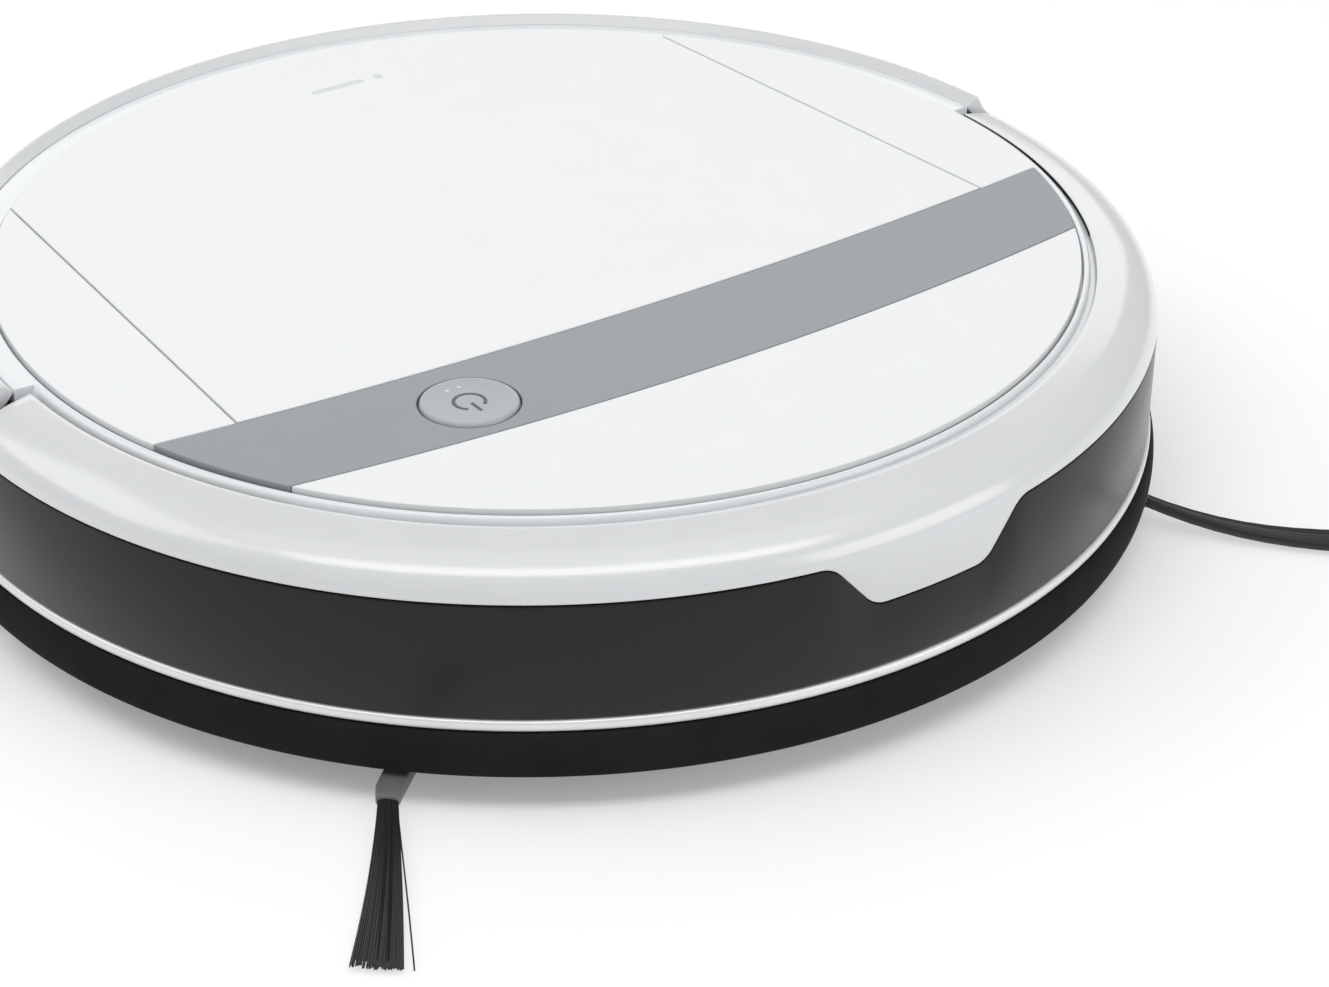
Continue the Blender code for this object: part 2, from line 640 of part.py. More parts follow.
def make_lid():
    seam_x, rear_corner = side_seam(-SEAM / 2, DISC_RADIUS)
    front = edge_points(strip_rear, -seam_x, seam_x, 16, SEAM)
    arc = arc_between(rear_corner, (-rear_corner[0], rear_corner[1]), DISC_RADIUS, 30)
    outline = front + [rear_corner] + arc + [(-rear_corner[0], rear_corner[1])]
    hinge = (0.0, HINGE_Y, HINGE_Z)
    lid = prism("bin_lid", outline, TOP_Z - PANEL_THICKNESS, TOP_Z, white_gloss("bin_lid"),
                origin=hinge)
    for name, side in SIDES.items():
        barrel = circle(HINGE_Y, HINGE_Z, KNUCKLE_RADIUS, 12, 180.0, 360.0)
        outline = barrel + [(HINGE_Y + KNUCKLE_RADIUS, TOP_Z - 1.0),
                            (HINGE_Y - KNUCKLE_RADIUS, TOP_Z - 1.0)]
        low, high = sorted((side * 109.0, side * 115.6))
        join(lid, prism(f"knuckle_tool_{name}", outline, low, high, axis="X"))
        bore = rod(f"knuckle_bore_tool_{name}", (side * 108.0, HINGE_Y, HINGE_Z),
                   (side * 116.5, HINGE_Y, HINGE_Z), HINGE_PIN_RADIUS + 0.12, sides=12)
        cut(lid, bore)
        rod(f"lid_hinge_pin_{name}", (side * 109.3, HINGE_Y, HINGE_Z),
            (side * 121.3, HINGE_Y, HINGE_Z), HINGE_PIN_RADIUS, steel(f"lid_hinge_pin_{name}"),
            sides=12)


def make_button():
    """Cap on a stem, above a switch whose plunger the pressed stem all but touches."""
    stem, stem_end = 3.5, 57.6
    profile = [(0.0, stem_end), (stem, stem_end), (stem, 69.2), (BUTTON_RADIUS, 69.2),
               (BUTTON_RADIUS, BUTTON_TOP - 0.4), (BUTTON_RADIUS - 0.5, BUTTON_TOP),
               (0.0, BUTTON_TOP)]
    turned("start_button", profile, grey_plastic("start_button", 0.49, 0.35),
           (BUTTON_X, BUTTON_Y, 0.0), steps=24, origin=(BUTTON_X, BUTTON_Y, BUTTON_TOP))
    switch = block("button_switch", (BUTTON_X - 3.0, BUTTON_Y - 3.0, BOARD_Z + 1.9),
                   (BUTTON_X + 3.0, BUTTON_Y + 3.0, BOARD_Z + 6.0),
                   dark_plastic("button_switch", 0.05))
    join(switch, rod("plunger_tool", (BUTTON_X, BUTTON_Y, BOARD_Z + 5.0),
                     (BUTTON_X, BUTTON_Y, stem_end - BUTTON_TRAVEL - 0.2), 1.7, sides=12))


# ---- Drive wheels -----------------------------------------------------------------------
def make_wheel(name, side):
    axle = (side * WHEEL_X, WHEEL_Y, WHEEL_RADIUS)
    half = TYRE_WIDTH / 2
    tyre = [(HUB_RADIUS + GAP, -half), (WHEEL_RADIUS - 1.0, -half), (WHEEL_RADIUS, -half + 1.5),
            (WHEEL_RADIUS, half - 1.5), (WHEEL_RADIUS - 1.0, half), (HUB_RADIUS + GAP, half)]
    turned(f"wheel_tyre_{name}", tyre, dark_plastic(f"wheel_tyre_{name}", 0.03, 0.8), axle,
           axis="X", steps=28)
    stub = side * (ARM_OUTER_X - WHEEL_X - 5.0)
    face = side * half
    hub = [(0.0, stub), (AXLE_RADIUS, stub), (AXLE_RADIUS, -face), (HUB_RADIUS, -face),
           (HUB_RADIUS, face), (HUB_RADIUS - 3.0, face), (HUB_RADIUS - 6.0, face - side * 3.0),
           (7.0, face - side * 3.0), (6.0, face - side * 0.5), (0.0, face - side * 0.5)]
    turned(f"wheel_hub_{name}", hub, grey_plastic(f"wheel_hub_{name}", 0.2), axle, axis="X",
           steps=20)


def make_suspension(name, side):
    """Gearbox arm that carries a wheel, with its motor, pivot pin and spring."""
    pivot = (side * WHEEL_X, PIVOT_Y, PIVOT_Z)
    outline = capsule((WHEEL_Y, WHEEL_RADIUS), 16.0, (PIVOT_Y, PIVOT_Z), 8.5)
    low, high = sorted((side * ARM_INNER_X, side * ARM_OUTER_X))
    arm = prism(f"suspension_arm_{name}", outline, low, high,
                dark_plastic(f"suspension_arm_{name}", 0.05), axis="X", origin=pivot)
    join(arm, rod(f"motor_can_tool_{name}", (side * 84.5, WHEEL_Y + 12.0, 34.5),
                  (side * 95.0, WHEEL_Y + 12.0, 34.5), 10.0, sides=20))
    cut(arm, rod(f"arm_pivot_tool_{name}", (side * 90.0, PIVOT_Y, PIVOT_Z),
                 (side * 112.0, PIVOT_Y, PIVOT_Z), PIVOT_PIN_RADIUS + 0.2))
    cut(arm, rod(f"arm_axle_tool_{name}", (side * 103.5, WHEEL_Y, WHEEL_RADIUS),
                 (side * 112.0, WHEEL_Y, WHEEL_RADIUS), AXLE_RADIUS + 0.2))
    rod(f"suspension_pin_{name}", (side * 85.8, PIVOT_Y, PIVOT_Z), (side * 115.8, PIVOT_Y, PIVOT_Z),
        PIVOT_PIN_RADIUS, steel(f"suspension_pin_{name}"))
    coil(f"suspension_spring_{name}", (side * 101.0, SPRING_Y), 47.2, 65.4, 5.0, 0.6, 4)


def coil(name, centre, low, high, radius, wire, turns, steps_per_turn=7):
    """A helical spring of square wire."""
    bm = bmesh.new()
    count = turns * steps_per_turn
    loops = []
    for i in range(count + 1):
        angle = math.tau * i / steps_per_turn
        z = low + wire + (high - low - 2 * wire) * i / count
        loops.append([(centre[0] + (radius + dr) * math.cos(angle),
                       centre[1] + (radius + dr) * math.sin(angle), z + dz)
                      for dr, dz in ((-wire, -wire), (wire, -wire), (wire, wire), (-wire, wire))])
    loft(bm, loops, closed=False)
    return add_mesh(name, bm, steel(name))


# ---- Caster -----------------------------------------------------------------------------
def make_caster():
    axle_y = CASTER_Y + CASTER_TRAIL
    profile = [(0.0, 9.2), (CASTER_RADIUS - 3.0, 9.2), (CASTER_RADIUS, 12.2),
               (CASTER_RADIUS, CASTER_TOP), (4.0, CASTER_TOP), (4.0, 36.0), (0.0, 36.0)]
    fork = turned("caster_fork", profile, dark_plastic("caster_fork", 0.06),
                  (0.0, CASTER_Y, 0.0), steps=20)
    cut(fork, block("caster_slot_tool", (-7.6, axle_y - 11.8, 5.0), (7.6, axle_y + 13.0, 23.5)))
    cut(fork, rod("caster_axle_tool", (-10.8, axle_y, CASTER_WHEEL_RADIUS),
                  (10.8, axle_y, CASTER_WHEEL_RADIUS), 2.2, sides=12))
    wheel = [(0.0, -10.3), (2.0, -10.3), (2.0, -7.0), (9.5, -7.0), (CASTER_WHEEL_RADIUS, -5.0),
             (CASTER_WHEEL_RADIUS, 5.0), (9.5, 7.0), (2.0, 7.0), (2.0, 10.3), (0.0, 10.3)]
    turned("caster_wheel", wheel, dark_plastic("caster_wheel", 0.09, 0.6),
           (0.0, axle_y, CASTER_WHEEL_RADIUS), axis="X", steps=18)


# ---- Side brushes -----------------------------------------------------------------------
def brush_arm(name, centre, azimuth, part):
    """One arm of a side brush: the moulded clip, or the fan of bristles beyond it."""
    sections = {"clip": [(6.0, 3.0, 5.6, 8.8), (22.0, 2.4, 5.0, 8.2)],
                "bristles": [(20.0, 1.6, 5.6, 7.6), (50.0, 3.6, 1.9, 3.1),
                             (SIDE_BRUSH_REACH, 7.0, 1.1, 1.9)]}[part]
    angle = math.radians(azimuth)
    outward = Vector((math.sin(angle), -math.cos(angle), 0.0))
    across = Vector((outward.y, -outward.x, 0.0))
    bm = bmesh.new()
    loops = []
    for distance, half, low, high in sections:
        middle = Vector(centre) + outward * distance
        corners = ((-half, low), (half, low), (half, high), (-half, high))
        loops.append([middle + across * u + Vector((0.0, 0.0, z)) for u, z in corners])
    loft(bm, loops, closed=False)
    return add_mesh(f"{part}_tool_{name}_{azimuth:.0f}", bm)


def make_side_brush(name, side):
    centre = (side * SIDE_BRUSH_X, SIDE_BRUSH_Y, 0.0)
    profile = [(0.0, 4.0), (8.5, 4.0), (11.0, 6.0), (11.0, 9.6), (4.0, 9.6), (4.0, 23.8),
               (0.0, 23.8)]
    hub = turned(f"side_brush_{name}", profile, dark_plastic(f"side_brush_{name}", 0.03, 0.5),
                 centre, steps=20)
    for i in range(SIDE_BRUSH_ARMS):
        azimuth = side * SIDE_BRUSH_ANGLE + 360.0 * i / SIDE_BRUSH_ARMS
        join(hub, brush_arm(name, centre, azimuth, "clip"))
        join(hub, brush_arm(name, centre, azimuth, "bristles"))
    rod(f"side_brush_motor_{name}", (side * SIDE_BRUSH_X, SIDE_BRUSH_Y, 24.2),
        (side * SIDE_BRUSH_X, SIDE_BRUSH_Y, 43.0), 11.3, steel(f"side_brush_motor_{name}"), sides=24)


# ---- Main brush -------------------------------------------------------------------------
def brush_section(x, twist):
    """Star section of the roller: a row of bristles at each point of the star."""
    points = []
    for i in range(BRUSH_ROWS):
        for spoke, radius in ((-9.0, BRUSH_CORE), (0.0, BRUSH_RADIUS), (9.0, BRUSH_CORE),
                              (30.0, BRUSH_CORE)):
            angle = math.radians(360.0 * i / BRUSH_ROWS + spoke + twist)
            points.append((x, BRUSH_Y + radius * math.cos(angle), BRUSH_Z + radius * math.sin(angle)))
    return points


def make_main_brush():
    bm = bmesh.new()
    steps = 8
    loops = []
    for i in range(steps + 1):
        x = -BRUSH_HALF_LENGTH + 2 * BRUSH_HALF_LENGTH * i / steps
        loops.append(brush_section(x, BRUSH_TWIST * abs(2 * i / steps - 1)))
    loft(bm, loops, closed=False)
    axis = (0.0, BRUSH_Y, BRUSH_Z)
    roller = add_mesh("main_brush", bm, dark_plastic("main_brush", 0.04, 0.7), axis)
    join(roller, rod("roller_shaft_tool", (-83.0, BRUSH_Y, BRUSH_Z), (92.0, BRUSH_Y, BRUSH_Z),
                     BRUSH_SHAFT_RADIUS, sides=12))


def make_brush_housing():
    """Chamber over the roller, with the duct that leads dirt back into the bin."""
    half = HOUSING_HALF_LENGTH
    outline = [(-62.0, 12.8), (-5.0, 12.8), (-5.0, 40.5), (-28.0, 43.0), (-52.0, 43.0),
               (-62.0, 34.0)]
    housing = prism("brush_housing", outline, -half, half, dark_plastic("brush_housing", 0.07),
                    axis="X")
    chamber = half - 2.5
    cut(housing,
        rod("chamber_tool", (-chamber, BRUSH_Y, BRUSH_Z), (chamber, BRUSH_Y, BRUSH_Z),
            CHAMBER_RADIUS, sides=32),
        block("chamber_mouth_tool", (-chamber, BRUSH_Y - 19.2, 8.0), (chamber, BRUSH_Y + 19.2, BRUSH_Z)),
        block("duct_tool", (-MOUTH_HALF_WIDTH, BRUSH_Y + 10.0, MOUTH_LOW),
              (MOUTH_HALF_WIDTH, 0.0, MOUTH_HIGH)),
        rod("bearing_tool", (-83.5, BRUSH_Y, BRUSH_Z), (90.0, BRUSH_Y, BRUSH_Z),
            BRUSH_SHAFT_RADIUS + 0.2, sides=12))
    guard = block("brush_guard", (-84.2, -61.2, 9.6), (84.2, -18.8, 12.4),
                  dark_plastic("brush_guard", 0.1), bevel=0.6)
    cut(guard, block("guard_mouth_tool", (-79.0, BRUSH_Y - 17.4, 5.0), (79.0, BRUSH_Y + 17.4, 20.0)))


def make_brush_drive():
    """Motor, the two pulleys and the belt that turn the roller."""
    width = PULLEY_X1 - PULLEY_X0
    bore = BRUSH_SHAFT_RADIUS + 0.2
    sleeve = [(bore, 0.0), (BRUSH_PULLEY_RADIUS, 0.0), (BRUSH_PULLEY_RADIUS, width), (bore, width)]
    turned("brush_pulley", sleeve, grey_plastic("brush_pulley", 0.6),
           (PULLEY_X0, BRUSH_Y, BRUSH_Z), axis="X", steps=16)
    shafted = [(0.0, -7.0), (MOTOR_SHAFT_RADIUS, -7.0), (MOTOR_SHAFT_RADIUS, 0.0),
               (MOTOR_PULLEY_RADIUS, 0.0), (MOTOR_PULLEY_RADIUS, width), (0.0, width)]
    turned("motor_pulley", shafted, grey_plastic("motor_pulley", 0.6),
           (PULLEY_X0, MOTOR_Y, MOTOR_Z), axis="X", steps=16)
    wheels = [((BRUSH_Y, BRUSH_Z), BRUSH_PULLEY_RADIUS), ((MOTOR_Y, MOTOR_Z), MOTOR_PULLEY_RADIUS)]
    low, high = PULLEY_X0 + 0.8, PULLEY_X1 - 0.8
    (a, radius_a), (b, radius_b) = wheels
    around = GAP + BELT_THICKNESS
    belt = prism("drive_belt", capsule(a, radius_a + around, b, radius_b + around, 12), low, high,
                 dark_plastic("drive_belt", 0.03, 0.8), axis="X")
    cut(belt, prism("belt_inside_tool", capsule(a, radius_a + GAP, b, radius_b + GAP, 12),
                    low - 1.0, high + 1.0, axis="X"))
    motor = rod("brush_motor", (57.0, MOTOR_Y, MOTOR_Z), (85.0, MOTOR_Y, MOTOR_Z), 11.0,
                steel("brush_motor"), sides=24)
    cut(motor, rod("motor_bore_tool", (78.0, MOTOR_Y, MOTOR_Z), (88.0, MOTOR_Y, MOTOR_Z),
                   MOTOR_SHAFT_RADIUS + 0.2, sides=12))


# ---- Dust bin, filter and fan -----------------------------------------------------------
def make_bin():
    half = BIN_HALF_WIDTH
    body = block("dust_bin", (-half, BIN_FRONT, BIN_BOTTOM), (half, BIN_REAR, BIN_TOP),
                 material("dust_bin", (0.35, 0.37, 0.4), 0.15, alpha=0.55), bevel=1.2)
    cut(body,
        block("bin_inside_tool", (-half + BIN_WALL, BIN_FRONT + BIN_WALL, BIN_BOTTOM + BIN_WALL),
              (half - BIN_WALL, BIN_REAR - BIN_WALL, BIN_TOP + 5.0)),
        block("bin_mouth_tool", (-MOUTH_HALF_WIDTH, BIN_FRONT - 5.0, MOUTH_LOW),
              (MOUTH_HALF_WIDTH, BIN_FRONT + 6.0, MOUTH_HIGH)),
        block("filter_seat_tool", (-46.0, BIN_REAR - 6.0, 24.0), (46.0, BIN_REAR + 5.0, 52.0)))
    cover = block("bin_cover", (-half, BIN_FRONT, BIN_TOP + GAP), (half, BIN_REAR, BIN_TOP + 2.0),
                  grey_plastic("bin_cover", 0.25), bevel=0.5)
    for name, side in SIDES.items():
        join(cover, block(f"handle_lug_tool_{name}",
                          (side * (HANDLE_HALF_WIDTH - 8.5) - 2.5, HANDLE_Y - 2.2, BIN_TOP + 1.0),
                          (side * (HANDLE_HALF_WIDTH - 8.5) + 2.5, HANDLE_Y + 2.2, 66.4)))
        cut(cover, rod(f"lug_bore_tool_{name}", (side * 22.0, HANDLE_Y, HANDLE_Z),
                       (side * 34.0, HANDLE_Y, HANDLE_Z), 1.2, sides=12))
    block("bin_filter", (-45.7, BIN_REAR - 8.0, 24.3), (45.7, BIN_REAR - 0.4, 51.7),
          material("bin_filter", (0.85, 0.85, 0.82), 0.8), bevel=0.8)
    make_bin_handle()


def make_bin_handle():
    """U-shaped bail that folds flat on the cover, hinged on two stubs."""
    outer, inner = HANDLE_HALF_WIDTH, HANDLE_HALF_WIDTH - 5.0
    front, rear = HANDLE_Y - HANDLE_HALF_THICKNESS, HANDLE_Y + HANDLE_LENGTH
    outline = [(-outer, front), (-inner, front), (-inner, rear - 6.0), (inner, rear - 6.0),
               (inner, front), (outer, front), (outer, rear - 4.0), (outer - 4.0, rear),
               (-outer + 4.0, rear), (-outer, rear - 4.0)]
    handle = prism("bin_handle", outline, HANDLE_Z - HANDLE_HALF_THICKNESS,
                   HANDLE_Z + HANDLE_HALF_THICKNESS, grey_plastic("bin_handle", 0.12),
                   origin=(0.0, HANDLE_Y, HANDLE_Z))
    for name, side in SIDES.items():
        join(handle, rod(f"handle_stub_tool_{name}", (side * 25.8, HANDLE_Y, HANDLE_Z),
                         (side * 33.0, HANDLE_Y, HANDLE_Z), 1.0, sides=12))


def make_fan():
    cup = [(0.0, 13.0), (FAN_RADIUS, 13.0), (FAN_RADIUS, 46.0), (12.0, 46.0), (12.0, 44.0),
           (FAN_RADIUS - 2.0, 44.0), (FAN_RADIUS - 2.0, 26.0), (3.4, 26.0), (3.4, 18.0),
           (0.0, 18.0)]
    housing = turned("fan_housing", cup, dark_plastic("fan_housing", 0.08), (0.0, FAN_Y, 0.0),
                     steps=20, origin=(0.0, 0.0, 0.0))
    cut(housing, block("fan_outlet_tool", (-12.0, FAN_Y + 15.0, 28.0),
                       (12.0, FAN_Y + 30.0, 41.0)))
    blades = 8
    outline = []
    for i in range(blades):
        for lag, radius in ((0.0, 18.5), (5.0, 18.5), (14.0, 7.0), (-10.0 + 360.0 / blades, 7.0)):
            angle = math.radians(360.0 * i / blades + lag)
            outline.append((radius * math.cos(angle), FAN_Y + radius * math.sin(angle)))
    impeller = prism("fan_impeller", outline, 27.0, 42.0, grey_plastic("fan_impeller", 0.7),
                     origin=(0.0, FAN_Y, 0.0))
    join(impeller, rod("fan_shaft_tool", (0.0, FAN_Y, 18.6), (0.0, FAN_Y, 40.0), 3.0, sides=12))


# ---- Battery, board, sensors and contacts -----------------------------------------------
def cliff_places():
    """Centres of the three drop sensors along the front edge."""
    left, right = polar(150.0, -62.0), polar(150.0, 62.0)
    return {"left": (left.x, left.y), "centre": (0.0, -151.5), "right": (right.x, right.y)}


def make_sensors():
    for name, (x, y) in cliff_places().items():
        block(f"cliff_sensor_{name}", (x - 7.0, y - 3.0, 9.8), (x + 7.0, y + 3.0, 16.0),
              dark_plastic(f"cliff_sensor_{name}", 0.02, 0.1), bevel=0.4)
    for name, side in SIDES.items():
        block(f"charging_contact_{name}", (side * 38.0 - 6.0, -143.0, 9.6),
              (side * 38.0 + 6.0, -123.0, 12.6), steel(f"charging_contact_{name}"), bevel=0.4)
        bumper_switch(name, side)


def switch_block(name, side, inner, outer, slack, mat=None):
    """Radial box at the azimuth of a bumper switch, grown by slack all round."""
    half, low, high = 5.0 + slack, 44.0 - slack, 52.0 + slack
    section = ((-half, low), (half, low), (half, high), (-half, high))
    bm = bmesh.new()
    loft(bm, [[(u, -radius, z) for u, z in section] for radius in (inner, outer)], closed=False)
    turn = Matrix.Rotation(math.radians(side * BUMPER_SWITCH_AZIMUTH), 3, "Z")
    bmesh.ops.rotate(bm, verts=bm.verts, matrix=turn)
    return add_mesh(name, bm, mat)


def bumper_switch(name, side):
    """Contact switch in a window of the chassis wall; the pushed bumper presses it."""
    switch_block(f"bumper_switch_{name}", side, 152.0, 161.5, 0.0,
                 dark_plastic(f"bumper_switch_{name}", 0.2))


def make_electronics():
    board = block("main_board", (-78.0, -128.0, BOARD_Z), (78.0, -64.0, BOARD_Z + 1.6),
                  material("main_board", (0.02, 0.16, 0.07), 0.45))
    chips = [(10.0, -95.0, 9.0, 2.2), (45.0, -105.0, 6.0, 1.8), (-30.0, -112.0, 5.0, 3.0),
             (52.0, -80.0, 4.0, 5.0)]
    for number, (x, y, half, height) in enumerate(chips):
        join(board, block(f"chip_tool_{number}", (x - half, y - half, BOARD_Z + 1.0),
                          (x + half, y + half, BOARD_Z + 1.6 + height)))
    block("battery_pack", (-BATTERY_HALF_WIDTH, BATTERY_FRONT, FLOOR_TOP + GAP),
          (BATTERY_HALF_WIDTH, BATTERY_REAR, 38.0),
          material("battery_pack", (0.05, 0.13, 0.4), 0.4), bevel=2.0)
    block("battery_door", (-55.7, -97.2, GROUND_CLEARANCE), (55.7, -65.8, FLOOR_TOP),
          dark_plastic("battery_door", 0.04), bevel=0.5)
    make_power_switch()


def make_power_switch():
    """Rocker whose two wings meet at a shallow angle, on a pair of trunnions."""
    wings = [(-6.8, 3.4), (-7.2, -3.4), (0.0, -2.2), (7.2, -3.4), (6.8, 3.4)]
    outline = [(SWITCH_X + x, SWITCH_Z + z) for x, z in wings]
    bm = bmesh.new()
    loft(bm, [[(x, y, z) for x, z in outline] for y in (SWITCH_Y - 4.8, SWITCH_Y + 4.8)],
         closed=False)
    rocker = add_mesh("power_switch", bm, material("power_switch", (0.55, 0.03, 0.03), 0.35),
                      (SWITCH_X, SWITCH_Y, SWITCH_Z))
    join(rocker, rod("trunnion_tool", (SWITCH_X, SWITCH_Y - 7.8, SWITCH_Z),
                     (SWITCH_X, SWITCH_Y + 7.8, SWITCH_Z), TRUNNION_RADIUS, sides=12))


def main():
    clear_scene()
    make_tray()
    make_top_frame()
    make_bumper()
    make_rear()
    make_front_panel()
    make_control_strip()
    make_side_panels()
    make_lid()
    make_button()
    for name, side in SIDES.items():
        make_wheel(name, side)
        make_suspension(name, side)
        make_side_brush(name, side)
    make_caster()
    make_main_brush()
    make_brush_housing()
    make_brush_drive()
    make_bin()
    make_fan()
    make_sensors()
    make_electronics()


main()
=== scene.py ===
"""Looks of the robot vacuum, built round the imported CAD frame.

Lengths are in millimetres until make() scales them to metres. The front of the robot faces -Y,
+Z is up, and an azimuth is in degrees from the front towards +X.
"""

import random
from math import atan2, copysign, cos, degrees, pi, radians, sin, sqrt, tau

import bmesh
import bpy
from mathutils import Matrix, Vector


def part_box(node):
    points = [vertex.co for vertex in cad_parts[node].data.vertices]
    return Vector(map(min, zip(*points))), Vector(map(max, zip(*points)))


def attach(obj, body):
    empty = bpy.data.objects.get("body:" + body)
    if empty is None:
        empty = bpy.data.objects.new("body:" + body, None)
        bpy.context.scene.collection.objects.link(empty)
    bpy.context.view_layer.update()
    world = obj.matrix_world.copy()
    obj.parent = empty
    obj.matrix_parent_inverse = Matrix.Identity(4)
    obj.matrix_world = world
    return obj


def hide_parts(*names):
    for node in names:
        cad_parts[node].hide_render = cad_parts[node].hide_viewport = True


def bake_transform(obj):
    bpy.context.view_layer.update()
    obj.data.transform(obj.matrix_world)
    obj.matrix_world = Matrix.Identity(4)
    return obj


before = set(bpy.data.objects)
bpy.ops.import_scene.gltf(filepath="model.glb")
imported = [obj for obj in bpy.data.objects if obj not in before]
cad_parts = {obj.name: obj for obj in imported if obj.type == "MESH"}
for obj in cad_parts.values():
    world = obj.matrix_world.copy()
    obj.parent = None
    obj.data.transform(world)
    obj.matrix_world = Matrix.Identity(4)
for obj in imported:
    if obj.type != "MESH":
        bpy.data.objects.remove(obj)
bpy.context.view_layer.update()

MM = 0.001
SIDES = {"left": -1.0, "right": 1.0}


def node_box(name):
    """Lowest and highest corner of a CAD node, in millimetres."""
    low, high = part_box(name)
    return low / MM, high / MM


TOP_Z = node_box("bin_lid")[1].z
PANEL_BOTTOM = node_box("front_panel")[0].z
TRAY_BOTTOM = node_box("base_tray")[0].z
GAP = 0.3                       # play between neighbouring parts
SEAM = 0.6                      # seam round the lid
CREASE = 32.0                   # edges sharper than this stay sharp

# Rim
SHELL_RADIUS = 167.9
SHELL_BOTTOM = 57.4
BACKING_OUTER = 165.4           # wall of the shells behind band, trim and skirt
BACKING_BOTTOM = 13.0
BAND_INNER = 165.7
BAND_BOTTOM = 26.1
BUMPER_EDGE = 150.85            # inner edge of the bumper's top
BUMPER_TRAVEL = 1.8
BUMPER_END = 89.9               # azimuth of the bumper's ends
REAR_START = 90.9               # azimuth where the fixed rear begins
RIM_STEPS = 160
NOTCH_BOTTOM = 43.8
NOTCH_LOW = (-5.5, 6.3)         # azimuths of the notch's lower corners
NOTCH_HIGH = (-9.6, 10.3)       # azimuths of its upper corners
NOTCH_RUN = 9.0                 # straight edge kept either side of the notch
SOCKET_Z = 33.0
VENT_Z = 42.0

# Top face
LEDGE_TOP = 69.3
REAR_LEDGE_EDGE = 154.3
SIDE_LEDGE_EDGE = 149.8
LEDGE_PLAY = 0.35               # left between ledge and bumper when it is pushed in
DISC_RADIUS = 146.6
ARC_PITCH = 2.2                 # distance between points on the disc's edge
STRIP_REAR = (-51.7, 1268.0)    # y in the middle, radius of the bow
STRIP_FRONT = (-88.6, 860.0)
LID_HALF, LID_Y, LID_TAPER = 118.2, -45.0, 0.058
HINGE_Y, HINGE_Z = -36.0, 67.0
BAY_FRONT, BAY_HALF = -55.2, 118.4
BUTTON = Vector((-66.5, -69.5))
BUTTON_RADIUS = 12.5

# Underside
WHEEL_X, WHEEL_Y, WHEEL_Z = 122.0, 8.0, 31.0
TYRE_HALF = 9.0
BRUSH_Y, BRUSH_Z = -40.0, 20.5
SIDE_BRUSH = (104.0, -104.0)
SIDE_BRUSH_AZIMUTH = 40.0
CLIP_END = {"left": 28.5, "right": 22.5}
BRISTLE_END = 84.0
BRISTLE_STEPS = 9
BRUSH_LEAN = {"left": (4.2, -5.8, -0.4), "right": (1.6, -1.2, 3.2)}
SPRING_X, SPRING_Y = 101.0, 28.0
CASTER_Y, CASTER_TRAIL, CASTER_WHEEL_Z = -122.0, 6.0, 11.0
PAD_FOOT = 10.1                 # just inside the tray, where the underside's pads begin


# ---- Materials ----
def material(name, color, roughness, metallic=0.0, coat=0.0, mottle=0.02, grain=(900.0, 2e-6),
             transmission=0.0, stretch=(1.0, 1.0, 1.0), specular=0.5, sheen=0.0,
             coat_roughness=0.06):
    """Moulded or metal surface: faint blotches of colour, uneven gloss and a fine grain.

    The grain is (scale, depth in metres). Stretch draws both patterns out along the axes.
    """
    mat = bpy.data.materials.new(name)
    mat.use_nodes = True
    nodes, links = mat.node_tree.nodes, mat.node_tree.links
    shader = nodes["Principled BSDF"]
    for socket, value in (("Metallic", metallic), ("Coat Weight", coat),
            ("Coat Roughness", coat_roughness), ("Specular IOR Level", specular),
            ("Transmission Weight", transmission), ("Sheen Weight", sheen),
            ("Sheen Roughness", 0.25)):
        shader.inputs[socket].default_value = value
    coordinates = nodes.new("ShaderNodeTexCoord")
    scaled = nodes.new("ShaderNodeMapping")
    scaled.inputs["Scale"].default_value = stretch
    links.new(coordinates.outputs["Object"], scaled.inputs["Vector"])

    def noise(scale, detail):
        texture = nodes.new("ShaderNodeTexNoise")
        texture.inputs["Scale"].default_value = scale
        texture.inputs["Detail"].default_value = detail
        links.new(scaled.outputs["Vector"], texture.inputs["Vector"])
        return texture

    blotch = noise(55.0, 4.0)
    tint = nodes.new("ShaderNodeValToRGB")
    for element, position, share in zip(tint.color_ramp.elements, (0.3, 0.7),
            (1.0 - mottle, 1.0 + mottle)):
        element.position = position
        element.color = (*[min(1.0, c * share) for c in color], 1.0)
    links.new(blotch.outputs["Fac"], tint.inputs["Fac"])
    links.new(tint.outputs["Color"], shader.inputs["Base Color"])
    uneven, spread_each_way = nodes.new("ShaderNodeMapRange"), 0.03
    uneven.inputs["To Min"].default_value = max(0.02, roughness - spread_each_way)
    uneven.inputs["To Max"].default_value = roughness + spread_each_way
    links.new(blotch.outputs["Fac"], uneven.inputs["Value"])
    links.new(uneven.outputs["Result"], shader.inputs["Roughness"])
    bump = nodes.new("ShaderNodeBump")
    bump.inputs["Distance"].default_value = grain[1]
    bump.inputs["Strength"].default_value = 1.0
    links.new(noise(grain[0], 3.0).outputs["Fac"], bump.inputs["Height"])
    links.new(bump.outputs["Normal"], shader.inputs["Normal"])
    return mat


def grey(value, blue=0.0):
    return (value * (1.0 - blue), value, value * (1.0 + blue))


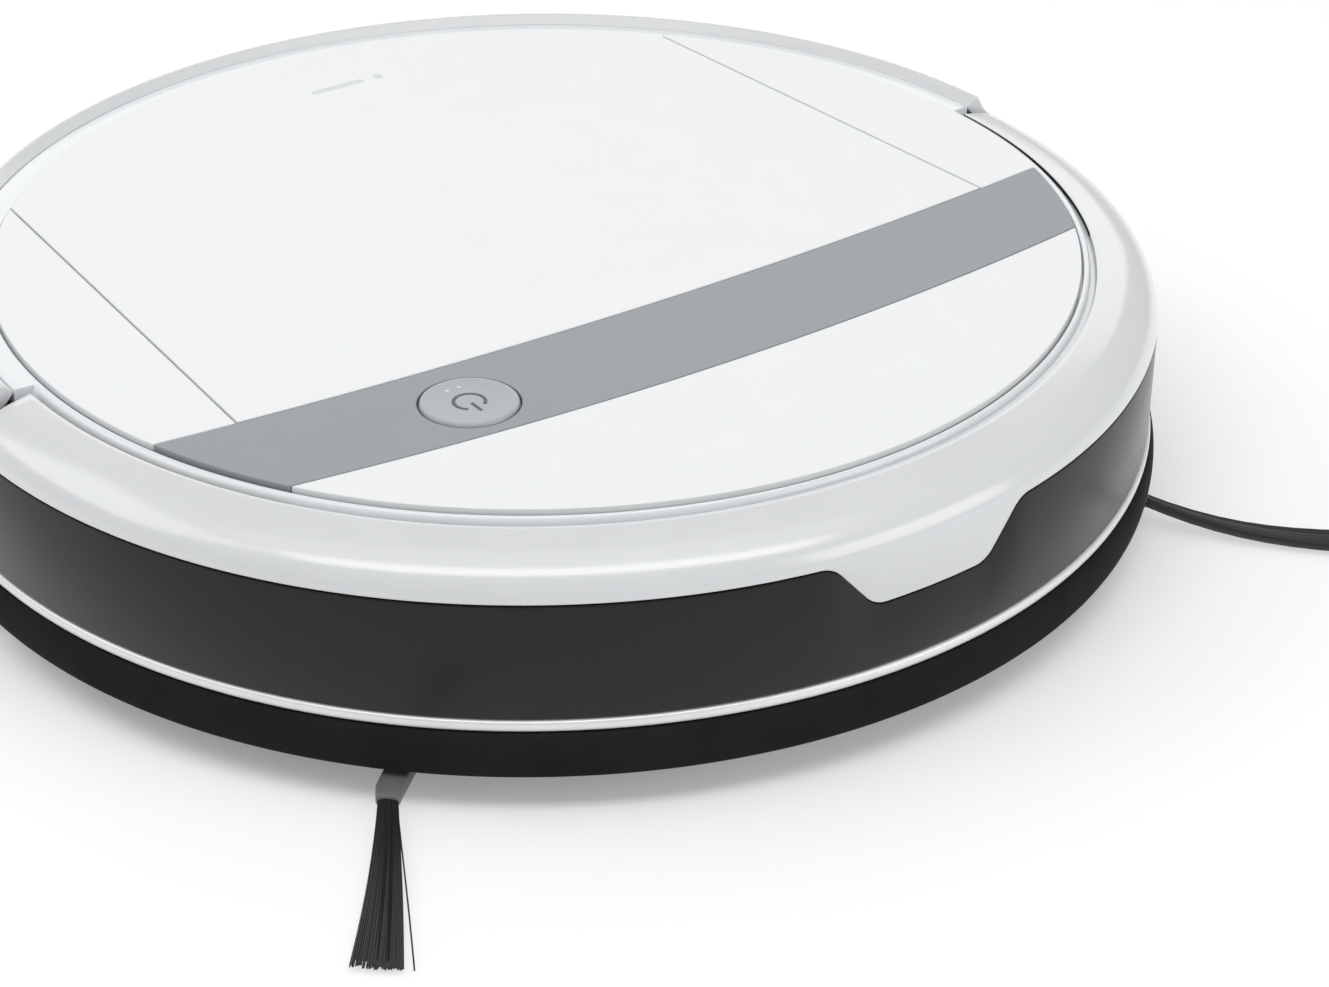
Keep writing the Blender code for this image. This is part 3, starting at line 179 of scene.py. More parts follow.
M = {
    "disc": material("white_gloss", (0.755, 0.765, 0.77), 0.3, mottle=0.008, specular=0.35),
    # Same white plastic as the disc, made darker as painted shade on the sloping ring and the rear
    # lip's wall.
    "shell": material("white_shell_painted_shade", (0.63, 0.64, 0.65), 0.25, coat=0.9, mottle=0.01,
        coat_roughness=0.15),
    "rear": material("white_rear", (0.74, 0.755, 0.765), 0.24, coat=0.3, mottle=0.01),
    "strip": material("grey_satin", (0.284, 0.299, 0.311), 0.4, specular=0.35, mottle=0.012,
        grain=(2600.0, 4e-6)),
    "button": material("button_satin", grey(0.395, 0.03), 0.32, metallic=0.1, mottle=0.012,
        grain=(2200.0, 2e-6)),
    "symbol": material("symbol_ink", grey(0.10), 0.5),
    "mark": material("mark_ink", (0.60, 0.63, 0.62), 0.4, mottle=0.03),
    "lamp": material("lamp_lens", (0.62, 0.66, 0.7), 0.15, coat=0.5),
    "band": material("smoked_gloss", (0.005, 0.0035, 0.0043), 0.27, mottle=0.1,
        grain=(350.0, 1e-6), specular=0.34, sheen=0.12),
    "trim": material("silver_trim", (0.76, 0.765, 0.77), 0.38, metallic=0.45,
        grain=(1500.0, 1e-6)),
    "skirt": material("black_rubber", (0.0165, 0.0145, 0.0155), 0.6, mottle=0.15,
        grain=(2400.0, 1.2e-5), specular=0.02),
    # Near-black matte strips that stand in for the deep shade in the bumper's gap and at its
    # splits: painted shade.
    "shade_liner": material("painted_shade_strips", grey(0.02), 0.9, mottle=0.25, grain=(2200.0, 4e-5),
        specular=0.1),
    "tray": material("textured_black", grey(0.035), 0.5, mottle=0.12, grain=(1800.0, 3e-5)),
    "dark": material("satin_black", grey(0.045), 0.38, mottle=0.08, grain=(1500.0, 8e-6)),
    "grey": material("satin_grey", grey(0.16, 0.02), 0.4, mottle=0.05, grain=(1500.0, 8e-6)),
    "mid": material("mid_grey", grey(0.26, 0.02), 0.42, mottle=0.05, grain=(1500.0, 6e-6)),
    "clip": material("clip_grey", grey(0.125, 0.02), 0.45, mottle=0.06, grain=(1500.0, 8e-6)),
    "tyre": material("tyre_rubber", grey(0.022), 0.75, mottle=0.25, grain=(1400.0, 3e-5)),
    "bristle": material("bristle_nylon", grey(0.010), 0.4, mottle=0.3, grain=(3000.0, 3e-6),
        specular=0.3),
    "blade": material("blade_rubber", grey(0.05, 0.05), 0.6, mottle=0.1),
    "steel": material("bright_steel", grey(0.62), 0.24, metallic=1.0, mottle=0.05,
        grain=(900.0, 3e-6), stretch=(1.0, 1.0, 6.0)),
    "can": material("plated_can", (0.60, 0.60, 0.58), 0.33, metallic=1.0, mottle=0.06,
        grain=(700.0, 4e-6), stretch=(6.0, 1.0, 1.0)),
    "nickel": material("nickel_plate", (0.72, 0.69, 0.62), 0.22, metallic=1.0, mottle=0.06,
        grain=(1200.0, 3e-6), stretch=(1.0, 8.0, 1.0)),
    "nylon": material("natural_nylon", (0.62, 0.60, 0.55), 0.45, mottle=0.04),
    "board": material("solder_mask", (0.015, 0.13, 0.06), 0.3, mottle=0.15,
        grain=(500.0, 2e-5)),
    "sleeve": material("battery_sleeve", (0.03, 0.10, 0.34), 0.3, coat=0.3, mottle=0.08,
        grain=(250.0, 6e-5)),
    "filter": material("filter_paper", (0.78, 0.78, 0.74), 0.85, mottle=0.06,
        grain=(2500.0, 5e-5)),
    "smoked": material("smoked_clear", (0.42, 0.44, 0.47), 0.12, transmission=0.55, mottle=0.04),
    "lens": material("sensor_lens", (0.012, 0.008, 0.016), 0.08, coat=1.0, mottle=0.1,
        grain=(400.0, 1e-6)),
    "red": material("switch_red", (0.42, 0.015, 0.012), 0.3, coat=0.2, mottle=0.05),
}


# ---- Mesh tools ----
def link(name, data):
    obj = bpy.data.objects.new(name, data)
    bpy.context.scene.collection.objects.link(obj)
    return obj


def shade(mesh, crease=CREASE):
    mesh.shade_smooth()
    mesh.set_sharp_from_angle(angle=radians(crease))


def make(name, bm, crease=CREASE):
    """Turn a bmesh in millimetres into an object in metres."""
    bmesh.ops.remove_doubles(bm, verts=bm.verts, dist=0.002)
    bmesh.ops.scale(bm, verts=bm.verts, vec=(MM, MM, MM))
    bmesh.ops.recalc_face_normals(bm, faces=bm.faces)
    mesh = bpy.data.meshes.new(name)
    bm.to_mesh(mesh)
    bm.free()
    shade(mesh, crease)
    return link(name, mesh)


def carve(obj, *tools, operation="DIFFERENCE"):
    """Cut the tools out of the object, or join them to it, and discard them."""
    for number, tool in enumerate(tools):
        modifier = obj.modifiers.new(f"carve_{number}", "BOOLEAN")
        modifier.operation = operation
        modifier.solver = "EXACT"
        modifier.object = tool
    bpy.context.view_layer.update()
    ready = obj.evaluated_get(bpy.context.evaluated_depsgraph_get())
    mesh = bpy.data.meshes.new_from_object(ready)
    obj.modifiers.clear()
    obj.data = mesh
    for tool in tools:
        bpy.data.objects.remove(tool, do_unlink=True)
    shade(obj.data)
    return obj


def bevel(obj, width, segments=3):
    modifier = obj.modifiers.new("edges", "BEVEL")
    modifier.width = width * MM
    modifier.segments = segments
    modifier.limit_method = "ANGLE"
    modifier.angle_limit = radians(30.0)
    modifier.harden_normals = True
    return obj


def place(obj, finish, body, *nodes):
    """Give a piece its material, the body it rides on and the CAD nodes it stands for."""
    obj.data.materials.clear()
    obj.data.materials.append(M[finish])
    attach(obj, body)
    if nodes:
        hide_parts(*nodes)
    return obj


def skin(bm, rows, closed=False):
    """Join a row of loops that all have the same number of points."""
    loops = [[bm.verts.new(point) for point in row] for row in rows]
    for row, following in zip(loops, loops[1:] + (loops[:1] if closed else [])):
        for i in range(len(row)):
            j = (i + 1) % len(row)
            bm.faces.new((row[i], row[j], following[j], following[i]))
    if not closed:
        bm.faces.new(loops[0])
        bm.faces.new(loops[-1])


def solid(name, rows, closed=False):
    bm = bmesh.new()
    skin(bm, rows, closed)
    return make(name, bm)


def polar(radius, azimuth, z=0.0):
    angle = radians(azimuth)
    return Vector((radius * sin(angle), -radius * cos(angle), z))


def spread(start, end, steps):
    return [start + (end - start) * i / steps for i in range(steps + 1)]


def unit_circle(steps):
    return [(cos(tau * k / steps), sin(tau * k / steps))
            for k in range(steps)]


def rectangle(x0, y0, x1, y1):
    return [(x0, y0), (x1, y0), (x1, y1), (x0, y1)]


def level(outline, z):
    """Lay an outline of (x, y) points at one height."""
    return [(p[0], p[1], z) for p in outline]


def smooth_line(points, per=4):
    """Points on a Catmull-Rom curve through the given ones."""
    line = [Vector(p) for p in points]
    line = [2 * line[0] - line[1]] + line + [2 * line[-1] - line[-2]]
    result = []
    for a, b, c, d in zip(line, line[1:], line[2:], line[3:]):
        for i in range(per):
            t = i / per
            result.append(0.5 * (2 * b + (c - a) * t + (2 * a - 5 * b + 4 * c - d) * t * t
                    + (3 * b - a - 3 * c + d) * t ** 3))
    return result + [line[-2]]


def soften(points, amount, steps=4):
    """Round the corners of a closed outline."""
    points = [Vector(p) for p in points]
    result = []
    for i, corner in enumerate(points):
        before = points[i - 1] - corner
        after = points[(i + 1) % len(points)] - corner
        start = corner + before.normalized() * min(amount, 0.45 * before.length)
        end = corner + after.normalized() * min(amount, 0.45 * after.length)
        for t in spread(0.0, 1.0, steps):
            result.append(start * (1 - t) ** 2 + corner * 2 * t * (1 - t) + end * t * t)
    return result


def inset(points, amount):
    """Move a closed outline inwards by the same distance all along."""
    points = [Vector(p) for p in points]
    area = sum(a.x * b.y - b.x * a.y for a, b in zip(points, points[1:] + points[:1]))
    turn = 1.0 if area > 0 else -1.0
    result = []
    for i, point in enumerate(points):
        before = (point - points[i - 1]).normalized()
        after = (points[(i + 1) % len(points)] - point).normalized()
        side = Vector((-(before + after).y, (before + after).x)) * turn
        if side.length < 1e-6:
            result.append(point)
            continue
        side.normalize()
        across = Vector((-before.y, before.x)) * turn
        result.append(point + side * amount / max(0.5, side.dot(across)))
    return result


def rounded_end(profile, azimuth, way, rounding):
    """Rings that round off one end of a sweep, from the outermost inwards."""
    rings = []
    for t in (0.0, 30.0, 60.0):
        depth = rounding * (1.0 - sin(radians(t)))
        back = rounding * (1.0 - cos(radians(t)))
        shift = degrees(back / profile[0][0]) * way
        rings.append([polar(p.x, azimuth + shift, p.y) for p in inset(profile, depth)])
    return rings


def sweep(name, profile_at, azimuths, closed=False, rounding=0.25):
    """Sweep a (radius, height) outline about Z, with its two ends rounded off."""
    def profile(azimuth):
        return [Vector(p) for p in profile_at(azimuth)]

    first, middle, last = [], azimuths, []
    if not closed:
        start, end = azimuths[0], azimuths[-1]
        near = degrees(rounding / 160.0)
        middle = [a for a in azimuths if start + 0.1 < a < end - 0.1]
        middle = [start + near] + middle + [end - near]
        first = rounded_end(profile(start), start, 1.0, rounding)
        last = rounded_end(profile(end), end, -1.0, rounding)[::-1]
    rows = [[polar(r, a, z) for r, z in profile(a)] for a in middle]
    return solid(name, first + rows + last, closed)


def turned(name, profile, centre=(0.0, 0.0, 0.0), axis="Z", steps=48):
    """Spin a profile of (radius, height) points, whose ends lie on the axis or meet."""
    bm = bmesh.new()
    verts = [bm.verts.new((r, 0.0, z)) for r, z in profile]
    edges = [bm.edges.new(pair) for pair in zip(verts, verts[1:])]
    if profile[0][0] > 0.0:
        edges.append(bm.edges.new((verts[-1], verts[0])))
    bmesh.ops.spin(bm, geom=verts + edges, axis=(0.0, 0.0, 1.0), cent=(0.0, 0.0, 0.0),
                   angle=tau, steps=steps, use_duplicate=False)
    bmesh.ops.remove_doubles(bm, verts=bm.verts, dist=0.005)
    turn = {"Z": Matrix.Identity(4),
            "X": Matrix.Rotation(radians(90), 4, "Y"),
            "Y": Matrix.Rotation(radians(-90), 4, "X")}[axis]
    bmesh.ops.transform(bm, matrix=Matrix.Translation(centre) @ turn, verts=bm.verts)
    return make(name, bm)


def prism(name, outline, low, high):
    """Extrude an outline of (x, y) points between two heights."""
    return solid(name, [level(outline, z) for z in (low, high)])


def block(name, low, high, rounding=0.0):
    """A box between two corners, its upright edges rounded."""
    outline = rectangle(low[0], low[1], high[0], high[1])
    if rounding:
        outline = soften(outline, rounding)
    return prism(name, outline, low[2], high[2])


def pads(name, rectangles, rounding, heights, taper, finish, body="chassis", steps=4):
    """Rounded rectangles that stand proud, the last edge of each drawn in by the taper."""
    foot, edge, face = heights
    bm = bmesh.new()
    for corners in rectangles:
        outline = soften(rectangle(*corners), rounding, steps)
        skin(bm, [level(outline, foot), level(outline, edge), level(inset(outline, taper), face)])
    place(make(name, bm), finish, body)


def rod(name, start, end, radius, sides=24):
    bm = bmesh.new()
    start, end = Vector(start), Vector(end)
    along = end - start
    bmesh.ops.create_cone(bm, cap_ends=True, segments=sides, radius1=radius, radius2=radius,
            depth=along.length)
    turn = along.to_track_quat("Z", "Y").to_matrix().to_4x4()
    bmesh.ops.transform(bm, matrix=Matrix.Translation((start + end) / 2) @ turn, verts=bm.verts)
    return make(name, bm)


def tube(bm, line, radii, sides=5):
    """Add a round strand along a line of points to a bmesh."""
    rows, around = [], unit_circle(sides)
    for i, point in enumerate(line):
        ahead = line[min(i + 1, len(line) - 1)] - line[max(i - 1, 0)]
        u = ahead.cross(Vector((0.0, 0.0, 1.0)))
        u = u.normalized() if u.length > 1e-6 else Vector((1.0, 0.0, 0.0))
        v = ahead.normalized().cross(u)
        rows.append([point + (u * c + v * s) * radii[i] for c, s in around])
    skin(bm, rows)


# ---- Bumper and rear rim ----
def notch_line():
    """The edge between shell and band at the front: (arc length, height), corners rounded."""
    scale = radians(1.0) * SHELL_RADIUS
    high, low = [a * scale for a in NOTCH_HIGH], [a * scale for a in NOTCH_LOW]
    corners = [(high[0] - NOTCH_RUN, SHELL_BOTTOM), (high[0], SHELL_BOTTOM),
               (low[0], NOTCH_BOTTOM), (low[1], NOTCH_BOTTOM), (high[1], SHELL_BOTTOM),
               (high[1] + NOTCH_RUN, SHELL_BOTTOM)]
    run = NOTCH_RUN - 0.1
    return [(p.x, p.y) for p in soften(corners, 3.6, 8) if high[0] - run < p.x < high[1] + run]


NOTCH_LINE = sorted(notch_line())


def notch_height(azimuth):
    """Lower edge of the white shell at an azimuth."""
    s = radians(azimuth) * SHELL_RADIUS
    for (s0, z0), (s1, z1) in zip(NOTCH_LINE, NOTCH_LINE[1:]):
        if s0 <= s <= s1:
            return z0 + (z1 - z0) * (s - s0) / max(1e-6, s1 - s0)
    return SHELL_BOTTOM


def bumper_azimuths():
    """Even steps, and finer ones along the notch."""
    scale = degrees(1.0 / SHELL_RADIUS)
    near = [s * scale for s, _ in NOTCH_LINE]
    slope = [a for low, high in zip(NOTCH_LOW, NOTCH_HIGH)
             for a in spread(low + (high - low) * 0.2, high - (high - low) * 0.2, 12)]
    plain = [a for a in spread(-BUMPER_END, BUMPER_END, 150) if abs(a) > 14.0]
    return sorted(set(plain + near + slope + [-2.5, 0.0, 2.5]))


SHOULDER = [(158.6, 67.05), (162.9, 65.0), (165.6, 62.8), (167.2, 60.2), (SHELL_RADIUS, 58.0)]


def shell_edge(low):
    """Lower edge of a white shell, and the wall that goes on below it behind the band."""
    return [(SHELL_RADIUS, low + 0.45), (SHELL_RADIUS - 0.12, low + 0.14),
            (SHELL_RADIUS - 0.45, low), (BACKING_OUTER, low), (BACKING_OUTER, BACKING_BOTTOM)]


def bumper_shell_profile(azimuth):
    top = [(BUMPER_EDGE, 68.0), (BUMPER_EDGE + 0.1, 68.4), (BUMPER_EDGE + 0.45, 68.52)]
    outer = smooth_line([(152.4, 68.35), (155.0, 67.9)] + SHOULDER)
    inner = [(163.4, BACKING_BOTTOM), (163.4, 58.5), (161.0, 62.6), (157.0, 65.2),
             (152.2, 67.75), (151.1, 67.85)]
    return top + outer + shell_edge(notch_height(azimuth)) + inner


def rear_shell_profile(_azimuth):
    lip = smooth_line([(154.65, 69.05), (154.85, 69.32), (155.5, 69.75), (156.6, 70.6),
            (157.2, 71.1), (157.8, 71.36), (158.5, 71.1), (159.6, 69.4),
            (160.6, 67.6)], 3)
    outer = smooth_line([(161.2, 66.75)] + SHOULDER[1:])
    inner = [(161.4, BACKING_BOTTOM), (161.4, 57.6), (157.2, 65.4), (154.65, 68.3)]
    return lip + outer + shell_edge(SHELL_BOTTOM) + inner


def band_profile(azimuth):
    low, high, r = BAND_BOTTOM, notch_height(azimuth) - GAP, SHELL_RADIUS
    return [(BAND_INNER, low), (r - 0.5, low), (r - 0.15, low + 0.12), (r, low + 0.5),
            (r, high - 0.5), (r - 0.15, high - 0.12), (r - 0.5, high), (BAND_INNER, high)]


def trim_profile(_azimuth):
    outer = smooth_line([(167.7, 22.85), (168.35, 23.2), (168.6, 24.3), (168.35, 25.4),
            (167.7, 25.75)], 3)
    return [(BAND_INNER, 22.85)] + outer + [(BAND_INNER, 25.75)]


def skirt_profile(_azimuth):
    outer = smooth_line([(167.2, 10.05), (168.4, 10.1), (169.4, 11.6), (170.0, 15.2),
            (169.95, 18.6), (169.5, 20.9), (168.5, 22.3), (167.3, 22.5)], 4)
    return [(BAND_INNER, 10.05)] + outer + [(BAND_INNER, 22.5)]


def rim_piece(node, profile_at, azimuths, finish, body, *tools):
    """Finer stand-in for a CAD node of the rim, cut by the tools."""
    piece = sweep(f"{node}_fine", profile_at, azimuths)
    if tools:
        carve(piece, *tools)
    place(piece, finish, body, node)


def make_bumper():
    azimuths = bumper_azimuths()
    rim_piece("bumper_shell", bumper_shell_profile, azimuths, "shell", "bumper")
    rim_piece("bumper_window", band_profile, azimuths, "band", "bumper")
    plain = spread(-BUMPER_END, BUMPER_END, RIM_STEPS)
    rim_piece("bumper_trim", trim_profile, plain, "trim", "bumper")
    rim_piece("bumper_skirt", skirt_profile, plain, "skirt", "bumper")


def exhaust_windows():
    return [block(f"exhaust_{name}", (side * 44.0 - 24.0, 130.0, 34.0),
                  (side * 44.0 + 24.0, 165.5, 50.0)) for name, side in SIDES.items()]


def socket_hole():
    return rod("socket_hole", (0.0, 150.0, SOCKET_Z), (0.0, 175.0, SOCKET_Z), 6.2, 40)


def vent_slots():
    """Rounded exhaust slots in two groups either side of the charging socket."""
    slots = []
    outline = soften(rectangle(-1.4, -8.5, 1.4, 8.5), 1.2)
    for side in SIDES.values():
        for i in range(7):
            azimuth = 180.0 + side * (8.0 + 2.2 * i)
            bm = bmesh.new()
            skin(bm, [[(p.x, y, p.y) for p in outline] for y in (-6.0, 6.0)])
            turn = Matrix.Rotation(radians(azimuth), 4, "Z")
            spot = Matrix.Translation(polar(168.0, azimuth, VENT_Z))
            bmesh.ops.transform(bm, matrix=spot @ turn, verts=bm.verts)
            slots.append(make(f"vent_{len(slots)}", bm))
    return slots


def make_rear():
    azimuths = spread(REAR_START, 360.0 - REAR_START, RIM_STEPS)
    rim_piece("rear_shell", rear_shell_profile, azimuths, "shell", "chassis",
              socket_hole(), *exhaust_windows())
    rim_piece("rear_band", band_profile, azimuths, "band", "chassis",
              socket_hole(), *vent_slots())
    rim_piece("rear_trim", trim_profile, azimuths, "trim", "chassis")
    rim_piece("rear_skirt", skirt_profile, azimuths, "skirt", "chassis")
    socket = (0.0, 0.0, SOCKET_Z)
    ring = [(6.1, 166.2), (6.1, 168.3), (6.5, 168.6), (7.6, 168.6), (8.0, 168.2), (8.0, 166.2)]
    place(turned("socket_bezel", ring, socket, axis="Y"), "grey", "chassis")
    pin = [(0.0, 156.0), (1.0, 156.0), (1.0, 164.0), (0.6, 165.0), (0.0, 165.2)]
    place(turned("socket_pin", pin, socket, axis="Y", steps=20), "nickel", "chassis")


def ledge_edge(azimuth):
    """Outer radius of the ledge: at the front it leaves the bumper room to travel back."""
    if REAR_START - 0.05 < azimuth < 360.0 - REAR_START + 0.05:
        return REAR_LEDGE_EDGE
    travel = BUMPER_TRAVEL * cos(radians(azimuth))
    return min(SIDE_LEDGE_EDGE, BUMPER_EDGE - LEDGE_PLAY - travel)


def top_frame_profile(azimuth):
    """Deck with a groove under the disc's edge, ledge round the disc and outer wall."""
    ledge = ledge_edge(azimuth)
    if ledge > BUMPER_EDGE:
        shelf = [(ledge, 64.6), (154.9, 64.3), (155.4, 64.1)]
        inward, down = 0.4, 0.4
    else:
        shelf = [(ledge, 67.3), (151.0, 67.15), (155.0, 64.2)]
        inward, down = 1.1, 1.8
    groove = [(20.0, 68.2), (145.9, 68.2), (146.0, 66.9), (147.1, 66.9),
              (147.3, LEDGE_TOP - 0.35), (147.35, LEDGE_TOP - 0.1), (147.5, LEDGE_TOP)]
    round_off = [(ledge - inward * a, LEDGE_TOP - down * b)
                 for a, b in ((0.95, 0.0), (0.66, 0.1), (0.3, 0.5), (0.0, 1.0))]
    wall = [(156.0, 63.8), (160.6, 56.5), (161.0, 40.3), (159.0, 40.3), (158.4, 56.0),
            (147.0, 63.6), (141.0, 66.2), (20.0, 66.2)]
    return groove + round_off + shelf + wall


def shade_strip(name, outline, ends, steps, rounding, body):
    """Soft dark strip of one outline between two azimuths, laid in as painted shade."""
    azimuths = spread(*sorted(ends), steps)
    place(sweep(name, lambda _azimuth: outline, azimuths, rounding=rounding), "shade_liner", body)


def make_gap_shade_strips():
    """Painted shade: dark strips inside the bumper's top edge from 57 degrees to its ends, and
    behind the split at each of its ends.
    """
    edge = [(BUMPER_EDGE - 0.12, 67.6), (BUMPER_EDGE + 0.1, 67.5), (BUMPER_EDGE + 0.14, 68.2),
            (BUMPER_EDGE, 68.38), (BUMPER_EDGE - 0.14, 68.25)]
    split_shade_outline = [(150.3, 66.35), (156.1, 64.0), (160.75, 56.7), (161.3, 40.3), (161.3, 24.0),
            (161.05, 24.0), (161.05, 40.3), (160.65, 56.5), (156.0, 63.85), (150.3, 66.15)]
    for name, side in SIDES.items():
        shade_strip(f"bumper_edge_shade_strip_{name}", edge, (side * 57.0, side * BUMPER_END), 40, 0.03, "bumper")
        shade_strip(f"split_shade_strip_{name}", split_shade_outline, (side * 88.6, side * 92.4), 6, 0.05, "chassis")


def make_top_frame():
    front = spread(0.1 - REAR_START, REAR_START - 0.1, RIM_STEPS)
    rear = spread(REAR_START, 360.0 - REAR_START, RIM_STEPS)
    azimuths = sorted(a % 360.0 for a in front + rear)
    top = sweep("top_frame_fine", top_frame_profile, azimuths, closed=True)
    ears = [block(f"ear_{name}", (min(side * 118.6, side * 121.6), HINGE_Y - 3.0, 64.6),
                  (max(side * 118.6, side * 121.6), HINGE_Y + 3.0, 68.1))
            for name, side in SIDES.items()]
    carve(top, *ears, operation="UNION")
    bay = [(-BAY_HALF, BAY_FRONT), (BAY_HALF, BAY_FRONT), (BAY_HALF, -33.0), (80.0, -33.0),
           (80.0, 92.0), (-80.0, 92.0), (-80.0, -33.0), (-BAY_HALF, -33.0)]
    tools = [prism("bay", soften(bay, 2.0), 55.0, 75.0),
             rod("stem", (*BUTTON, 60.0), (*BUTTON, 75.0), 5.0)]
    for name, side in SIDES.items():
        tools.append(rod(f"pin_{name}", (side * 116.0, HINGE_Y, HINGE_Z),
                (side * 122.0, HINGE_Y, HINGE_Z), 0.92, 16))
    carve(top, *tools, *exhaust_windows())
    place(top, "rear", "chassis", "top_frame")


# ---- Top face ----
def strip_rear(x):
    return STRIP_REAR[0] + x * x / (2.0 * STRIP_REAR[1])


def strip_front(x):
    return STRIP_FRONT[0] + x * x / (2.0 * STRIP_FRONT[1])


def lid_side(y):
    return LID_HALF - LID_TAPER * (y - LID_Y)


def crossing(edge):
    """Where an edge across the disc meets its rim."""
    x = DISC_RADIUS
    for _ in range(40):
        x = sqrt(DISC_RADIUS * DISC_RADIUS - edge(x) ** 2)
    return x


def edge_points(edge, start, end, steps, offset=0.0):
    return [(x, edge(x) + offset) for x in spread(start, end, steps)]


def arc_between(start, end):
    """Points of the disc's edge strictly between two points, the short way round."""
    a = atan2(start[1], start[0])
    b = atan2(end[1], end[0])
    if b - a > pi:
        b -= tau
    if a - b > pi:
        b += tau
    steps = max(2, round(abs(b - a) * DISC_RADIUS / ARC_PITCH))
    angles = [a + (b - a) * i / steps for i in range(1, steps)]
    return [(DISC_RADIUS * cos(t), DISC_RADIUS * sin(t)) for t in angles]


def seam_ends(offset):
    """Where the seam between lid and side panel meets the strip and the rim."""
    x = LID_HALF
    for _ in range(20):
        x = lid_side(strip_rear(x)) + offset
    y = 90.0
    for _ in range(40):
        y = sqrt(DISC_RADIUS ** 2 - (lid_side(y) + offset) ** 2)
    return x, (lid_side(y) + offset, y)


def panel(node, outline, body):
    piece = prism(f"{node}_fine", outline, PANEL_BOTTOM, TOP_Z)
    place(bevel(piece, 0.3), "disc", body, node)


def make_panels():
    half = crossing(lambda x: strip_front(x) - GAP)
    edge = edge_points(strip_front, half, -half, 60, -GAP)
    panel("front_panel", edge + arc_between(edge[-1], edge[0]), "chassis")
    seam_x, corner = seam_ends(SEAM / 2)
    reach = crossing(lambda x: strip_rear(x) + GAP)
    edge = edge_points(strip_rear, seam_x, reach, 6, GAP)
    outline = edge + arc_between(edge[-1], corner) + [corner]
    for name, side in SIDES.items():
        panel(f"side_panel_{name}", [(side * x, y) for x, y in outline], "chassis")


def make_strip():
    front, rear = crossing(strip_front), crossing(strip_rear)
    front_edge = edge_points(strip_front, -front, front, 60)
    rear_edge = edge_points(strip_rear, rear, -rear, 60)
    outline = (front_edge + arc_between(front_edge[-1], rear_edge[0]) + rear_edge
               + arc_between(rear_edge[-1], front_edge[0]))
    strip = prism("control_strip_fine", outline, PANEL_BOTTOM, TOP_Z)
    carve(strip, rod("button_hole", (*BUTTON, 60.0), (*BUTTON, 80.0), BUTTON_RADIUS + 0.5, 64))
    place(bevel(strip, 0.25), "strip", "chassis", "control_strip")


def make_lid():
    seam_x, corner = seam_ends(-SEAM / 2)
    front = edge_points(strip_rear, -seam_x, seam_x, 60, SEAM)
    mirrored = (-corner[0], corner[1])
    panel("bin_lid", front + [corner] + arc_between(corner, mirrored) + [mirrored], "lid")
    barrel = [(HINGE_Y + 1.5 * cos(t), HINGE_Z + 1.5 * sin(t))
              for t in spread(pi, tau, 16)]
    section = barrel + [(HINGE_Y + 1.5, TOP_Z - 1.0), (HINGE_Y - 1.5, TOP_Z - 1.0)]
    for name, side in SIDES.items():
        rows = [[(side * x, y, z) for y, z in section] for x in (109.0, 115.6)]
        place(solid(f"lid_knuckle_{name}", rows), "disc", "lid")
    ribs = bmesh.new()
    for corners in ((-70.0, 8.0, 70.0, 9.2), (-70.0, 84.0, 70.0, 85.2),
            (-71.2, 8.0, -70.0, 85.2), (70.0, 8.0, 71.2, 85.2)):
        skin(ribs, [level(rectangle(*corners), z) for z in (67.6, PANEL_BOTTOM + 0.1)])
    place(make("lid_ribs", ribs), "disc", "lid")


def make_lid_mark():
    """Plain bar and dot printed near the lid's rear edge, to show where to lift it."""
    low, high = TOP_Z - 0.05, TOP_Z + 0.04
    bar = soften(rectangle(-1.8, 117.4, 15.8, 119.8), 1.1, 5)
    place(prism("lid_mark_bar", bar, low, high), "mark", "lid")
    dot = turned("lid_mark_dot", rectangle(0.0, low, 1.5, high), (21.0, 118.6, 0.0), steps=28)
    place(dot, "mark", "lid")


def make_button():
    """Dished cap with a plain power symbol and two small lamps."""
    dish = [(0.0, 70.80), (6.0, 70.81), (10.0, 70.88), (11.2, 70.99), (11.7, 71.0),
            (12.15, 70.88), (12.45, 70.5), (BUTTON_RADIUS, 70.1), (BUTTON_RADIUS, 69.2),
            (3.5, 69.2), (3.5, 57.6), (0.0, 57.6)]
    cap = turned("start_button_fine", dish, (*BUTTON, 0.0), steps=72)
    place(cap, "button", "button", "start_button")
    opening = 36.0
    arc = [radians(a) for a in spread(-90.0 + opening, 270.0 - opening, 40)]
    ring = [(4.4 * cos(t), 4.4 * sin(t)) for t in arc]
    ring += [(3.5 * cos(t), 3.5 * sin(t)) for t in reversed(arc)]
    bar = soften(rectangle(-0.45, -5.6, 0.45, -0.9), 0.35, 3)
    symbol = bmesh.new()
    for shape in (ring, bar):
        outline = [(BUTTON.x + p[0], BUTTON.y + p[1]) for p in shape]
        skin(symbol, [level(outline, z) for z in (70.6, 70.87)])
    place(make("button_symbol", symbol), "symbol", "button")
    for name, side in SIDES.items():
        lamp = [(0.0, 70.6), (0.55, 70.6), (0.55, 70.9), (0.4, 70.98), (0.0, 71.0)]
        spot = (BUTTON.x + side * 1.7, BUTTON.y + 7.6, 0.0)
        place(turned(f"button_lamp_{name}", lamp, spot, steps=16), "lamp", "button")


# ---- Side brushes ----
def arm_axes(centre, azimuth):
    """Foot of a brush's arm, the direction it points in and the one across it."""
    outward = polar(1.0, azimuth)
    return Vector((*centre, 0.0)), outward, Vector((outward.y, -outward.x, 0.0))


